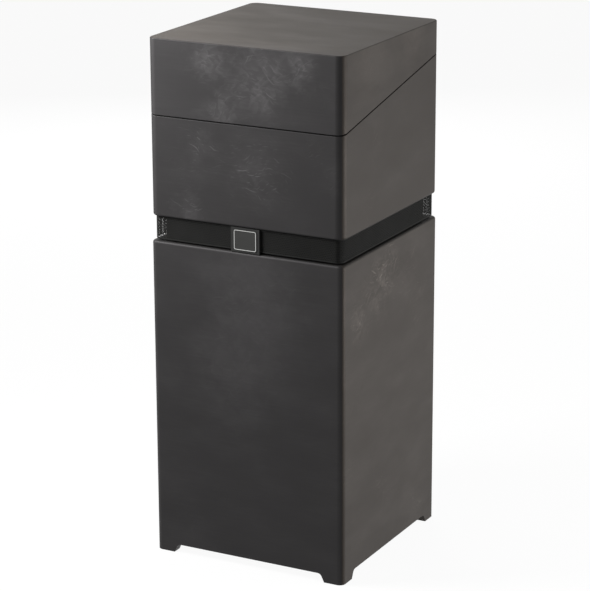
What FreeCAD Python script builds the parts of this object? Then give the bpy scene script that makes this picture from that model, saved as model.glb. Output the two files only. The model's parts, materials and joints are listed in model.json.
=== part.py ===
import FreeCAD, Part
import math
import os
import Sketcher

# Omnidirectional column speaker: a square cabinet on bracket legs, a grilled sound band
# with an upward-facing coaxial driver under a diffuser, and an upper box with a hinged lid
# that is cut off along a slope.
# Millimetres, +Z up, origin on the floor under the middle of the cabinet, front towards -Y.

SIZES = {
    "cabinet_width": 340,
    "wall_thickness": 16,
    "lower_corner": 10,
    "upper_corner": 14,
    "lower_height": 524,
    "band_height": 40,
    "box_front_height": 162,
    "seam_rise": 70,
    "lid_front_height": 122,
    "seam_gap": 1.6,
    "seam_ease": 0.8,
    "hinge_side_ease": 4.5,
    "band_ease": 4,
    "top_ease": 1.5,
    "leg_width": 33,
    "leg_lean": 6.5,
    "arch_height": 14,
    "arch_radius": 8,
    "board_thickness": 16,
    "base_lift": 24,
    "block_lift": 3.5,
    "baffle_drop": 44,
    "cleat_side": 18,
    "port_radius": 36,
    "port_wall": 2.5,
    "port_length": 130,
    "port_flange": 9,
    "port_flare": 4.5,
    "port_inset": 84,
    "post_radius": 11,
    "post_inset": 26,
    "tie_radius": 4,
    "nut_height": 6.5,
    "nut_radius": 7.5,
    "bolt_clearance": 0.2,
    "foam_thickness": 4,
    "foam_clearance": 0.3,
    "foam_corner": 8,
    "grille_inset": 4,
    "grille_sheet": 1,
    "grille_corner": 12,
    "grille_gap": 3,
    "hole_half": 3.4,
    "hole_margin": 7.75,
    "row_pitch": 16,
    "carrier_width": 50,
    "carrier_depth": 3.4,
    "carrier_clearance": 0.3,
    "badge_width": 41,
    "badge_height": 34,
    "badge_corner": 4,
    "basket_margin": 4,
    "flange_overlap": 12,
    "driver_depth": 58,
    "flange_thickness": 4,
    "basket_sheet": 3,
    "screw_inset": 5,
    "screw_radius": 2.4,
    "screw_head": 4.5,
    "screw_length": 15,
    "spoke_window": 34,
    "window_top": 12,
    "window_bottom": 9,
    "surround_radius": 88,
    "surround_roll": 14,
    "surround_land": 6,
    "surround_sheet": 1,
    "cone_sheet": 1,
    "cone_depth": 33,
    "spider_radius": 57,
    "spider_sheet": 1,
    "spider_wave": 2,
    "coil_radius": 25,
    "coil_sheet": 1,
    "coil_gap": 0.8,
    "plate_thickness": 8,
    "plate_radius": 55,
    "magnet_bore": 34.8,
    "magnet_radius": 68,
    "magnet_height": 20,
    "yoke_radius": 60,
    "stem_radius": 8,
    "tweeter_radius": 16,
    "tweeter_height": 16,
    "tweeter_lift": 4,
    "tweeter_taper": 4,
    "dome_radius": 12,
    "dome_rise": 6.4,
    "glue_gap": 0.1,
    "diffuser_margin": 4,
    "diffuser_height": 60,
    "diffuser_rim": 4,
    "diffuser_tip": 6,
    "diffuser_hollow": 96,
    "panel_sheet": 2,
    "panel_recess": 14,
    "panel_clearance": 1,
    "panel_cleat": 14,
    "panel_cleat_length": 246,
    "knob_radius": 11,
    "knob_height": 17,
    "knob_grip": 9,
    "knob_taper": 0.5,
    "knob_skirt": 4.2,
    "knob_roof": 3.4,
    "pointer_width": 1.2,
    "pointer_depth": 0.8,
    "knob_lift": 1,
    "knob_spacing": 62,
    "knob_row": 34,
    "shaft_radius": 3,
    "shaft_clearance": 0.05,
    "bushing_radius": 4.2,
    "bushing_height": 5,
    "pot_radius": 8.5,
    "pot_depth": 10,
    "shaft_depth": 5,
    "bushing_room": 1,
    "recess_width": 104,
    "recess_height": 40,
    "recess_depth": 12,
    "recess_lift": 48,
    "recess_corner": 8,
    "socket_radius": 4.1,
    "socket_length": 9,
    "socket_flange": 6.5,
    "socket_lip": 2,
    "socket_depth": 14,
    "socket_bore": 1.6,
    "socket_offset": 38,
    "socket_spacing": 19,
    "inlet_width": 27,
    "inlet_height": 20,
    "inlet_depth": 24,
    "inlet_flange": 10,
    "inlet_rim": 5,
    "inlet_lip": 2.5,
    "inlet_wall": 2.5,
    "inlet_corner": 2.5,
    "inlet_chamfer": 4.5,
    "pin_width": 2.5,
    "pin_height": 4,
    "pin_spacing": 7,
    "pin_stagger": 2,
    "inlet_offset": 26,
    "switch_width": 13,
    "switch_height": 21,
    "switch_depth": 14,
    "switch_flange": 3,
    "switch_lip": 2,
    "switch_wall": 1.2,
    "switch_offset": 14,
    "switch_tilt": 8,
    "rocker_clearance": 0.9,
    "rocker_pin": 1.2,
    "rocker_depth": 2.4,
    "rocker_rise": 2,
    "rocker_dip": 0.8,
    "rocker_foot": 5,
    "amp_length": 180,
    "amp_sheet": 1.6,
    "amp_clearance": 34,
    "amp_gap": 20,
    "standoff_height": 12,
    "standoff_radius": 4,
    "standoff_inset": 8,
    "transformer_radius": 50,
    "transformer_bore": 13,
    "transformer_height": 38,
    "transformer_bend": 9,
    "transformer_inset": 84,
    "hinge_radius": 3,
    "hinge_pin": 1.2,
    "hinge_length": 40,
    "hinge_middle": 14,
    "hinge_inset": 59,
    "hinge_clearance": 0.3,
    "leaf_width": 9,
    "bumper_radius": 5,
    "bumper_inset": 30,
    "bumper_clearance": 0.05,
}

HALF_ROOT = math.sqrt(0.5)
MARGIN = 20.0
# A half circle is drawn with a radius this much over half of its chord
ARC_SLACK = 0.001


class Dim:
    """A size: its value, and the sheet expression that the document binds to."""

    def __init__(self, value, text):
        self.value = value
        self.text = text

    def joined(self, sign, other, value):
        return Dim(value, f"({self.text} {sign} {other.text})")

    def __add__(self, other):
        other = as_dim(other)
        return self.joined("+", other, self.value + other.value)

    def __sub__(self, other):
        other = as_dim(other)
        return self.joined("-", other, self.value - other.value)

    def __mul__(self, other):
        other = as_dim(other)
        return self.joined("*", other, self.value * other.value)

    def __truediv__(self, other):
        other = as_dim(other)
        return self.joined("/", other, self.value / other.value)

    def __radd__(self, other):
        return as_dim(other) + self

    def __rsub__(self, other):
        return as_dim(other) - self

    def __rmul__(self, other):
        return as_dim(other) * self

    def __rtruediv__(self, other):
        return as_dim(other) / self

    def __neg__(self):
        return Dim(-self.value, f"(-{self.text})")


def as_dim(number):
    if isinstance(number, Dim):
        return number
    return Dim(float(number), f"({float(number)!r})")


def root(dim):
    return Dim(math.sqrt(dim.value), f"sqrt({dim.text})")


class Sizes:
    """The driving dimensions as attributes, each tied to its own cell."""

    def __init__(self, sheet):
        for row, (name, value) in enumerate(SIZES.items(), start=1):
            sheet.set(f"A{row}", name)
            sheet.set(f"B{row}", str(value))
            sheet.setAlias(f"B{row}", name)
            setattr(self, name, Dim(float(value), f"Sizes.{name}"))


doc = FreeCAD.newDocument("omnidirectional_speaker")
sheet = doc.addObject("Spreadsheet::Sheet", "Sizes")
s = Sizes(sheet)
doc.recompute()
subparts = []

# Levels and planes that several pieces share
half = s.cabinet_width / 2
inside = half - s.wall_thickness
lower_top = s.lower_height
upper_bottom = lower_top + s.band_height
seam_front = upper_bottom + s.box_front_height
top = seam_front + s.lid_front_height
seam_slope = s.seam_rise / s.cabinet_width
seam_middle = seam_front + s.seam_rise / 2
baffle_top = lower_top - s.baffle_drop
floor_top = upper_bottom + s.board_thickness
slope_angle = Dim(math.degrees(math.atan(seam_slope.value)), f"atan({seam_slope.text})")
slope_cos = Dim(math.cos(math.radians(slope_angle.value)), f"cos({slope_angle.text})")
slope_sin = Dim(math.sin(math.radians(slope_angle.value)), f"sin({slope_angle.text})")
post_place = inside - s.post_inset
grille_face = half - s.grille_inset
driver_hole = s.surround_radius + s.basket_margin
driver_radius = driver_hole + s.flange_overlap
screw_circle = driver_radius - s.screw_inset
hinge_offset = inside - s.hinge_inset


def seam_height(depth):
    """Height of the seam's middle plane at a distance behind the cabinet's centre."""
    return seam_middle + seam_slope * depth


def bind(item, path, dim):
    item.setExpression(path, as_dim(dim).text)


def place(item, x=0, y=0, z=0, axis=(0, 0, 1), angle=0):
    """Bind an object's place, and its turn about one axis."""
    x, y, z, angle = as_dim(x), as_dim(y), as_dim(z), as_dim(angle)
    turn = FreeCAD.Rotation(FreeCAD.Vector(*axis), angle.value)
    item.Placement = FreeCAD.Placement(FreeCAD.Vector(x.value, y.value, z.value), turn)
    bind(item, "Placement.Base.x", x)
    bind(item, "Placement.Base.y", y)
    bind(item, "Placement.Base.z", z)
    if angle.value:
        bind(item, "Placement.Rotation.Angle", angle)
    return item


def subpart(item, label):
    item.Label = label
    subparts.append(item)
    return item


def new_body(name):
    return doc.addObject("PartDesign::Body", name)


def sketch_on(body, role, offset=None):
    """A sketch on one of the body's own origin planes, moved along its normal."""
    sketch = body.newObject("Sketcher::SketchObject", f"{body.Name}_sketch")
    plane = [feature for feature in body.Origin.OriginFeatures if feature.Role == role][0]
    sketch.AttachmentSupport = [(plane, "")]
    sketch.MapMode = "FlatFace"
    if offset is not None:
        bind(sketch, "AttachmentOffset.Base.z", offset)
    return sketch


def hold(sketch, kind, refs, dim):
    index = sketch.addConstraint(Sketcher.Constraint(kind, *refs, dim.value))
    bind(sketch, f"Constraints[{index}]", dim)


def arc_between(start, end, radius, side):
    """The shorter arc of a radius; side is 1 where its centre is left of the way from start to end."""
    chord = end - start
    normal = FreeCAD.Vector(-chord.y, chord.x, 0).normalize()
    rise = math.sqrt(radius ** 2 - (chord.Length / 2) ** 2)
    centre = (start + end) / 2 + normal * (side * rise)
    circle = Part.Circle(centre, FreeCAD.Vector(0, 0, 1), radius)
    first, last = (start, end) if side > 0 else (end, start)
    angles = [math.atan2(point.y - centre.y, point.x - centre.x) for point in (first, last)]
    return Part.ArcOfCircle(circle, angles[0], angles[1])


def outline(sketch, points, arcs=None):
    """A closed outline through bound points; arcs maps an edge's number to its radius and side."""
    arcs = arcs or {}
    points = [(as_dim(x), as_dim(y)) for x, y in points]
    spots = [FreeCAD.Vector(x.value, y.value, 0) for x, y in points]
    count = len(points)
    ends = []
    for edge in range(count):
        start, end = spots[edge], spots[(edge + 1) % count]
        if edge in arcs:
            radius, side = arcs[edge]
            number = sketch.addGeometry(arc_between(start, end, as_dim(radius).value, side), False)
            ends.append((number, 1, 2) if side > 0 else (number, 2, 1))
        else:
            number = sketch.addGeometry(Part.LineSegment(start, end), False)
            ends.append((number, 1, 2))
    for edge in range(count):
        number, first, last = ends[edge]
        follower, follower_first, _ = ends[(edge + 1) % count]
        sketch.addConstraint(Sketcher.Constraint("Coincident", number, last, follower, follower_first))
        hold(sketch, "DistanceX", (-1, 1, number, first), points[edge][0])
        hold(sketch, "DistanceY", (-1, 1, number, first), points[edge][1])
        if edge in arcs:
            hold(sketch, "Radius", (number,), as_dim(arcs[edge][0]))
    return sketch


def ring(sketch, x, y, radius):
    x, y, radius = as_dim(x), as_dim(y), as_dim(radius)
    spot = FreeCAD.Vector(x.value, y.value, 0)
    number = sketch.addGeometry(Part.Circle(spot, FreeCAD.Vector(0, 0, 1), radius.value), False)
    hold(sketch, "DistanceX", (-1, 1, number, 3), x)
    hold(sketch, "DistanceY", (-1, 1, number, 3), y)
    hold(sketch, "Radius", (number,), radius)
    return sketch


def block(sketch, x0, y0, x1, y1):
    return outline(sketch, [(x0, y0), (x1, y0), (x1, y1), (x0, y1)])


def centred_block(sketch, x, y, wide, tall):
    return block(sketch, x - wide / 2, y - tall / 2, x + wide / 2, y + tall / 2)


def rounded_block(sketch, x0, y0, x1, y1, radius):
    points = [(x0 + radius, y0), (x1 - radius, y0), (x1, y0 + radius), (x1, y1 - radius)]
    points += [(x1 - radius, y1), (x0 + radius, y1), (x0, y1 - radius), (x0, y0 + radius)]
    return outline(sketch, points, {edge: (radius, 1) for edge in (1, 3, 5, 7)})


def pad(sketch, length, both_ways=False, flipped=False):
    body = sketch.getParentGeoFeatureGroup()
    feature = body.newObject("PartDesign::Pad", f"{body.Name}_pad")
    feature.Profile = sketch
    bind(feature, "Length", length)
    feature.SideType = "Symmetric" if both_ways else "One side"
    feature.Reversed = flipped
    doc.recompute()
    return feature


def pocket(sketch, length=None, both_ways=False, flipped=False):
    """A cut along the sketch's normal; with no length it goes right through."""
    body = sketch.getParentGeoFeatureGroup()
    before = body.Tip.Shape.Volume
    feature = body.newObject("PartDesign::Pocket", f"{body.Name}_pocket")
    feature.Profile = sketch
    if length is None:
        feature.Type = "ThroughAll"
    else:
        bind(feature, "Length", length)
    feature.SideType = "Symmetric" if both_ways else "One side"
    feature.Reversed = flipped
    doc.recompute()
    if feature.Shape.isNull() or feature.Shape.Volume > before * (1 - 1e-7):
        raise ValueError(f"{feature.Name} cuts nothing")
    return feature


def turn_round(feature, count):
    """Repeat a cut round the body's own upright axis."""
    body = feature.getParentGeoFeatureGroup()
    pattern = body.newObject("PartDesign::PolarPattern", f"{body.Name}_round")
    axis = [item for item in body.Origin.OriginFeatures if item.Role == "Z_Axis"][0]
    pattern.Originals = [feature]
    pattern.Axis = (axis, [""])
    pattern.Angle = 360
    pattern.Occurrences = count
    body.Tip = pattern
    doc.recompute()
    return pattern


def turned(label, points, arcs=None, x=0, y=0, z=0, axis=(0, 0, 1), angle=0):
    """A turned piece: its half section, radius then height, revolved about its upright axis."""
    body = new_body(label)
    sketch = outline(sketch_on(body, "XZ_Plane"), points, arcs)
    feature = body.newObject("PartDesign::Revolution", f"{label}_turn")
    feature.Profile = sketch
    feature.ReferenceAxis = (sketch, ["V_Axis"])
    feature.Angle = 360
    doc.recompute()
    return place(body, x, y, z, axis, angle)


def ease(body, edges, radius):
    """Round the named edges of the body's last feature."""
    feature = body.newObject("PartDesign::Fillet", f"{body.Name}_ease")
    feature.Base = (body.Tip if body.Tip != feature else feature.BaseFeature, edges)
    bind(feature, "Radius", radius)
    doc.recompute()
    return feature


def group(label, items):
    compound = doc.addObject("Part::Compound", label)
    compound.Links = items
    return subpart(compound, label)


def cylinder(name, radius, height, x=0, y=0, z=0, axis=(0, 0, 1), angle=0):
    item = doc.addObject("Part::Cylinder", name)
    bind(item, "Radius", radius)
    bind(item, "Height", height)
    return place(item, x, y, z, axis, angle)


def box(name, length, depth, height, x=0, y=0, z=0, axis=(0, 0, 1), angle=0):
    item = doc.addObject("Part::Box", name)
    bind(item, "Length", length)
    bind(item, "Width", depth)
    bind(item, "Height", height)
    return place(item, x, y, z, axis, angle)


def fused(name, items):
    item = doc.addObject("Part::MultiFuse", name)
    item.Shapes = items
    return item


def cut_from(name, base, tool):
    item = doc.addObject("Part::Cut", name)
    item.Base = base
    item.Tool = tool
    return item


# Walls: each is drawn as the front one, mitred at both ends, and turned to its side

SIDES = {"front": 0, "right": 90, "rear": 180, "left": 270}


def wall_body(label, side, low, high, corner):
    """A mitred wall with half of each rounded corner, standing at its side of the cabinet."""
    body = new_body(label)
    straight = half - corner
    mitre = straight + corner * HALF_ROOT
    points = [(-straight, -half), (straight, -half), (mitre, -mitre), (inside, -inside)]
    points += [(-inside, -inside), (-mitre, -mitre)]
    arcs = {1: (corner, 1), 5: (corner, 1)}
    pad(outline(sketch_on(body, "XY_Plane", low), points, arcs), high - low)
    body.Placement = FreeCAD.Placement(FreeCAD.Vector(), FreeCAD.Rotation(SIDES[side], 0, 0))
    return subpart(body, label)


def rim_edges(body, corner, level, other=False):
    """The wall's outer rim edges at a level, or with other set those that are not at it."""
    limit = -(half - corner * (1 - HALF_ROOT)).value + 0.01
    shape = body.Tip.Shape
    names = []
    for number, edge in enumerate(shape.Edges, start=1):
        ends = [vertex.Point for vertex in edge.Vertexes]
        upright = abs(ends[0].x - ends[-1].x) < 0.01 and abs(ends[0].y - ends[-1].y) < 0.01
        if upright or max(point.y for point in ends) > limit:
            continue
        at_level = all(abs(point.z - level.value) < 0.01 for point in ends)
        if at_level != other:
            names.append(f"Edge{number}")
    return names


def seam_cut(body, side, keep_below):
    """Cut a wall along the sloping seam, half of the gap away from its middle plane."""
    lean = {"front": 1, "rear": -1, "right": 1, "left": -1}[side] * seam_slope
    role = "YZ_Plane" if side in ("front", "rear") else "XZ_Plane"
    reach = half + MARGIN
    shift = -s.seam_gap / 2 if keep_below else s.seam_gap / 2
    far = top + MARGIN if keep_below else lower_top
    points = [(-reach, seam_middle - lean * reach + shift), (reach, seam_middle + lean * reach + shift)]
    points += [(reach, far), (-reach, far)]
    pocket(outline(sketch_on(body, role), points), both_ways=True)


def hinge_seat(body):
    """Round seats for the hinge barrels in a rear wall."""
    depth = -(half - s.hinge_radius)
    for offset in (-hinge_offset, hinge_offset):
        seat = ring(sketch_on(body, "YZ_Plane", offset), depth, seam_height(-depth),
                    s.hinge_radius + s.hinge_clearance)
        pocket(seat, s.hinge_length + 2 * s.hinge_clearance, both_ways=True)


def arch(body):
    """The opening between two legs: leaning sides, rounded into a flat top."""
    foot = half - s.leg_width
    slant = root(s.leg_lean * s.leg_lean + s.arch_height * s.arch_height)
    trim = s.arch_radius * s.arch_height / (slant + s.leg_lean)
    share = (slant - trim) / slant
    side = [(foot, -MARGIN), (foot, 0), (foot - s.leg_lean * share, s.arch_height * share)]
    side.append((foot - s.leg_lean - trim, s.arch_height))
    points = side + [(-x, z) for x, z in reversed([(as_dim(x), z) for x, z in side])]
    pocket(outline(sketch_on(body, "XZ_Plane"), points, {2: (s.arch_radius, 1), 4: (s.arch_radius, 1)}),
           both_ways=True)


def seam_rounding(side):
    """The seam's edges are rounder on the hinge side, so that the lid clears the box as it turns."""
    return s.hinge_side_ease if side == "rear" else s.seam_ease


def lower_wall(side):
    body = wall_body(f"lower_{side}_panel", side, as_dim(0), lower_top, s.lower_corner)
    arch(body)
    ease(body, rim_edges(body, s.lower_corner, lower_top), s.band_ease)


def upper_wall(side):
    body = wall_body(f"upper_{side}_panel", side, upper_bottom, top, s.upper_corner)
    seam_cut(body, side, keep_below=True)
    ease(body, rim_edges(body, s.upper_corner, upper_bottom), s.band_ease)
    ease(body, rim_edges(body, s.upper_corner, upper_bottom, other=True), seam_rounding(side))
    if side == "rear":
        hinge_seat(body)
        connector_recess(body)


def lid_wall(side):
    body = wall_body(f"lid_{side}_panel", side, seam_front, top, s.upper_corner)
    seam_cut(body, side, keep_below=False)
    ease(body, rim_edges(body, s.upper_corner, top), s.top_ease)
    ease(body, rim_edges(body, s.upper_corner, top, other=True), seam_rounding(side))
    if side == "rear":
        hinge_seat(body)


recess_middle = upper_bottom + s.recess_lift


def connector_recess(body):
    """A recess in the rear wall, with openings in its floor for the inlet, switch and input sockets."""
    face = sketch_on(body, "XZ_Plane", half)
    rounded_block(face, -s.recess_width / 2, recess_middle - s.recess_height / 2,
                  s.recess_width / 2, recess_middle + s.recess_height / 2, s.recess_corner)
    pocket(face, s.recess_depth)
    openings = sketch_on(body, "XZ_Plane", half)
    for middle, wide, tall in ((-s.inlet_offset, s.inlet_width, s.inlet_height),
                               (s.switch_offset, s.switch_width, s.switch_height)):
        centred_block(openings, middle, recess_middle, wide + s.glue_gap * 2, tall + s.glue_gap * 2)
    for step in (-1, 1):
        level = recess_middle + s.socket_spacing / 2 * step
        ring(openings, s.socket_offset, level, s.socket_radius + s.glue_gap)
    pocket(openings, s.wall_thickness)


for side in SIDES:
    lower_wall(side)
    upper_wall(side)
    lid_wall(side)


# Boards inside the walls

def board(label, low, thickness):
    body = new_body(label)
    pad(block(sketch_on(body, "XY_Plane", low), -inside, -inside, inside, inside), thickness)
    return subpart(body, label)


def bolt_holes(body, low):
    holes = sketch_on(body, "XY_Plane", low)
    for x in (-post_place, post_place):
        for y in (-post_place, post_place):
            ring(holes, x, y, s.tie_radius + s.bolt_clearance)
    pocket(holes, s.board_thickness, flipped=True)


bottom = board("bottom_board", s.base_lift, s.board_thickness)
port_place = inside - s.port_inset
port_hole = sketch_on(bottom, "XY_Plane", s.base_lift)
pocket(ring(port_hole, 0, port_place, s.port_radius + s.glue_gap), s.board_thickness, flipped=True)

baffle_low = baffle_top - s.board_thickness
baffle = board("baffle_board", baffle_low, s.board_thickness)
driver_opening = ring(sketch_on(baffle, "XY_Plane", baffle_low), 0, 0, driver_hole)
pocket(driver_opening, s.board_thickness, flipped=True)
bolt_holes(baffle, baffle_low)
pilot = ring(sketch_on(baffle, "XY_Plane", baffle_low), screw_circle, 0, s.screw_radius + s.glue_gap)
DRIVER_SCREWS = 6
turn_round(pocket(pilot, s.board_thickness, flipped=True), DRIVER_SCREWS)

upper_floor = board("upper_floor", upper_bottom, s.board_thickness)
bolt_holes(upper_floor, upper_bottom)

board("lid_top_panel", top - s.wall_thickness, s.wall_thickness)


def baffle_cleats():
    """Battens round the walls that carry the baffle board."""
    low = baffle_low - s.cleat_side
    long_run = inside * 2
    short_run = long_run - s.cleat_side * 2
    pieces = []
    for name, y in (("front", -inside), ("rear", inside - s.cleat_side)):
        pieces.append(box(f"cleat_{name}", long_run, s.cleat_side, s.cleat_side, -inside, y, low))
    for name, x in (("left", -inside), ("right", inside - s.cleat_side)):
        pieces.append(box(f"cleat_{name}", s.cleat_side, short_run, s.cleat_side, x, -short_run / 2, low))
    group("baffle_cleats", pieces)


def corner_blocks():
    """Three-cornered glue blocks behind the legs, under the bottom board."""
    leg = s.leg_width - s.wall_thickness
    pieces = []
    for number, (turn_x, turn_y) in enumerate(((1, 1), (-1, 1), (-1, -1), (1, -1)), start=1):
        body = new_body(f"corner_block_{number}")
        points = [(turn_x * inside, turn_y * inside), (turn_x * (inside - leg), turn_y * inside)]
        points.append((turn_x * inside, turn_y * (inside - leg)))
        sketch = outline(sketch_on(body, "XY_Plane", s.block_lift), points)
        pad(sketch, s.base_lift - s.block_lift)
        pieces.append(body)
    group("corner_blocks", pieces)


def port_tube():
    """Reflex port, flared and flanged under the bottom board."""
    outer, inner = s.port_radius, s.port_radius - s.port_wall
    flange = outer + s.port_flange
    lip = s.port_wall
    flare = s.port_flare
    points = [(inner, s.port_length), (inner, flare - lip), (inner + flare, -lip)]
    points += [(flange, -lip), (flange, 0), (outer, 0), (outer, s.port_length)]
    subpart(turned("port_tube", points, {1: (flare, 1)}, y=port_place, z=s.base_lift), "port_tube")


baffle_cleats()
corner_blocks()
port_tube()


# The driver, with heights counted from the top of the baffle board

basket_low = -s.driver_depth
roll_inner = s.surround_radius - s.surround_roll
cone_rim = roll_inner - s.surround_land
cone_neck = s.flange_thickness - s.cone_depth
plate_top = basket_low - s.basket_sheet
plate_low = plate_top - s.plate_thickness
magnet_low = plate_low - s.magnet_height
yoke_low = magnet_low - s.plate_thickness
coil_outer = s.coil_radius + s.coil_sheet
gap_outer = coil_outer + s.coil_gap
pole_radius = s.coil_radius - s.coil_gap


def woofer_basket():
    """Pressed basket: flange, leaning spokes between windows, and the seat of the magnet."""
    skin = s.basket_sheet
    points = [(driver_radius, 0), (driver_radius, s.flange_thickness)]
    points += [(s.surround_radius - skin, s.flange_thickness), (s.surround_radius - skin, 0)]
    points += [(s.yoke_radius, basket_low), (s.magnet_bore, basket_low), (s.magnet_bore, plate_top)]
    points += [(s.yoke_radius + skin, plate_top), (driver_hole - skin, 0)]
    body = turned("woofer_basket", points, z=baffle_top)
    window = sketch_on(body, "XZ_Plane")
    block(window, -s.spoke_window / 2, basket_low + s.window_bottom, s.spoke_window / 2, -s.window_top)
    turn_round(pocket(window, driver_radius, flipped=True), DRIVER_SCREWS)
    hole = ring(sketch_on(body, "XY_Plane"), screw_circle, 0, s.screw_radius + s.glue_gap)
    turn_round(pocket(hole, s.flange_thickness, flipped=True), DRIVER_SCREWS)
    subpart(body, "woofer_basket")


def woofer_surround():
    """Half-roll edge between the flange and the cone."""
    low, high = s.flange_thickness, s.flange_thickness + s.surround_sheet
    roll = s.surround_roll / 2
    outer = s.surround_radius + s.surround_land
    points = [(outer, low), (outer, high), (s.surround_radius, high), (roll_inner, high)]
    points += [(cone_rim, high), (cone_rim, low), (roll_inner + s.surround_sheet, low)]
    points.append((s.surround_radius - s.surround_sheet, low))
    arcs = {2: (roll + ARC_SLACK, 1), 6: (roll - s.surround_sheet + ARC_SLACK, -1)}
    subpart(turned("woofer_surround", points, arcs, z=baffle_top), "woofer_surround")


def woofer_cone():
    high, low = s.flange_thickness, s.flange_thickness - s.cone_sheet
    points = [(roll_inner, high), (cone_rim, high), (coil_outer, cone_neck)]
    points.append((coil_outer, cone_neck - s.cone_sheet * 2))
    points += [(cone_rim + s.cone_sheet, low), (roll_inner, low)]
    subpart(turned("woofer_cone", points, z=baffle_top), "woofer_cone")


def woofer_voice_coil():
    inner, outer = s.coil_radius, coil_outer
    points = [(inner, plate_low), (outer, plate_low), (outer, cone_neck), (inner, cone_neck)]
    subpart(turned("woofer_voice_coil", points, z=baffle_top), "woofer_voice_coil")


SPIDER_FOLDS = 7


def woofer_spider():
    """Corrugated disc that centres the coil over the magnet."""
    step = (s.spider_radius - coil_outer) / SPIDER_FOLDS
    lower, upper = [], []
    for number in range(SPIDER_FOLDS + 1):
        radius = s.spider_radius - step * number
        level = basket_low + s.spider_wave * (number % 2)
        lower.append((radius, level))
        upper.append((radius, level + s.spider_sheet))
    subpart(turned("woofer_spider", lower + upper[::-1], z=baffle_top), "woofer_spider")


def motor():
    """Top plate, ring magnet and yoke with its hollow pole."""
    bore, rim = gap_outer, s.plate_radius
    plate = [(bore, plate_low), (rim, plate_low), (rim, plate_top), (bore, plate_top)]
    subpart(turned("woofer_top_plate", plate, z=baffle_top), "woofer_top_plate")
    bore, rim = s.magnet_bore, s.magnet_radius
    magnet = [(bore, magnet_low), (rim, magnet_low), (rim, plate_low), (bore, plate_low)]
    subpart(turned("woofer_magnet", magnet, z=baffle_top), "woofer_magnet")
    vent = s.stem_radius + s.glue_gap
    yoke = [(vent, yoke_low), (s.yoke_radius, yoke_low), (s.yoke_radius, magnet_low)]
    yoke += [(pole_radius, magnet_low), (pole_radius, plate_top), (vent, plate_top)]
    subpart(turned("woofer_yoke", yoke, z=baffle_top), "woofer_yoke")


def tweeter():
    """Tweeter on a stem through the pole, with its dome on top."""
    foot = cone_neck + s.tweeter_lift
    head = foot + s.tweeter_height
    rim, crown = s.dome_radius, s.dome_rise
    bulge = (rim * rim + crown * crown) / (2 * crown)
    housing = [(0, yoke_low), (s.stem_radius, yoke_low), (s.stem_radius, foot)]
    housing += [(s.tweeter_radius, foot + s.tweeter_taper), (s.tweeter_radius, head), (0, head)]
    subpart(turned("tweeter_housing", housing, z=baffle_top), "tweeter_housing")
    dome = [(0, head), (rim, head), (0, head + crown)]
    subpart(turned("tweeter_dome", dome, {1: (bulge, 1)}, z=baffle_top), "tweeter_dome")


def driver_screws():
    pieces = []
    for number in range(DRIVER_SCREWS):
        angle = math.radians(360 / DRIVER_SCREWS * number)
        x, y = screw_circle * math.cos(angle), screw_circle * math.sin(angle)
        seat = baffle_top + s.flange_thickness
        low = seat - s.screw_length
        shank = cylinder(f"screw_shank_{number}", s.screw_radius, s.screw_length, x, y, low)
        head = cylinder(f"screw_head_{number}", s.screw_head, s.screw_radius, x, y, seat)
        pieces.append(fused(f"driver_screw_{number}", [shank, head]))
    group("woofer_screws", pieces)


woofer_basket()
woofer_surround()
woofer_cone()
woofer_voice_coil()
woofer_spider()
motor()
tweeter()
driver_screws()


# The sound band

def diffuser():
    """Hanging cone with a hollow curve that turns the sound outwards."""
    rim = driver_hole + s.diffuser_margin
    points = [(0, 0), (rim, 0), (rim, -s.diffuser_rim)]
    points += [(s.diffuser_tip, -s.diffuser_height), (0, -s.diffuser_height)]
    subpart(turned("diffuser", points, {2: (s.diffuser_hollow, 1)}, z=upper_bottom), "diffuser")


def spacer_posts():
    """Tubes that carry the upper box on the baffle board, with a tie bolt through each."""
    length = upper_bottom - baffle_top
    run = s.board_thickness * 2 + length
    posts = []
    bolts = []
    for number, (turn_x, turn_y) in enumerate(((1, 1), (-1, 1), (-1, -1), (1, -1)), start=1):
        x, y = turn_x * post_place, turn_y * post_place
        tube = cylinder(f"post_tube_{number}", s.post_radius, length, x, y, baffle_top)
        bore = cylinder(f"post_bore_{number}", s.tie_radius + s.bolt_clearance, length, x, y, baffle_top)
        posts.append(cut_from(f"post_{number}", tube, bore))
        rod = cylinder(f"tie_rod_{number}", s.tie_radius, run, x, y, baffle_low)
        ends = [rod]
        for end, level in (("low", baffle_low - s.nut_height), ("high", floor_top)):
            nut = doc.addObject("Part::Prism", f"tie_nut_{end}_{number}")
            nut.Polygon = 6
            bind(nut, "Circumradius", s.nut_radius)
            bind(nut, "Height", s.nut_height)
            ends.append(place(nut, x, y, level))
        bolts.append(fused(f"tie_bolt_{number}", ends))
    group("spacer_posts", posts)
    group("tie_bolts", bolts)


def foam_sleeve():
    """Acoustic foam standing behind the grille, from the baffle board to the upper floor."""
    body = new_body("foam_sleeve")
    outer = inside - s.foam_clearance
    inner = outer - s.foam_thickness
    sketch = sketch_on(body, "XY_Plane", baffle_top)
    rounded_block(sketch, -outer, -outer, outer, outer, s.foam_corner)
    rounded_block(sketch, -inner, -inner, inner, inner, s.foam_corner - s.foam_thickness)
    pad(sketch, upper_bottom - baffle_top)
    subpart(body, "foam_sleeve")


GRILLE_COLUMNS = 20
GRILLE_ROWS = 2


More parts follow.
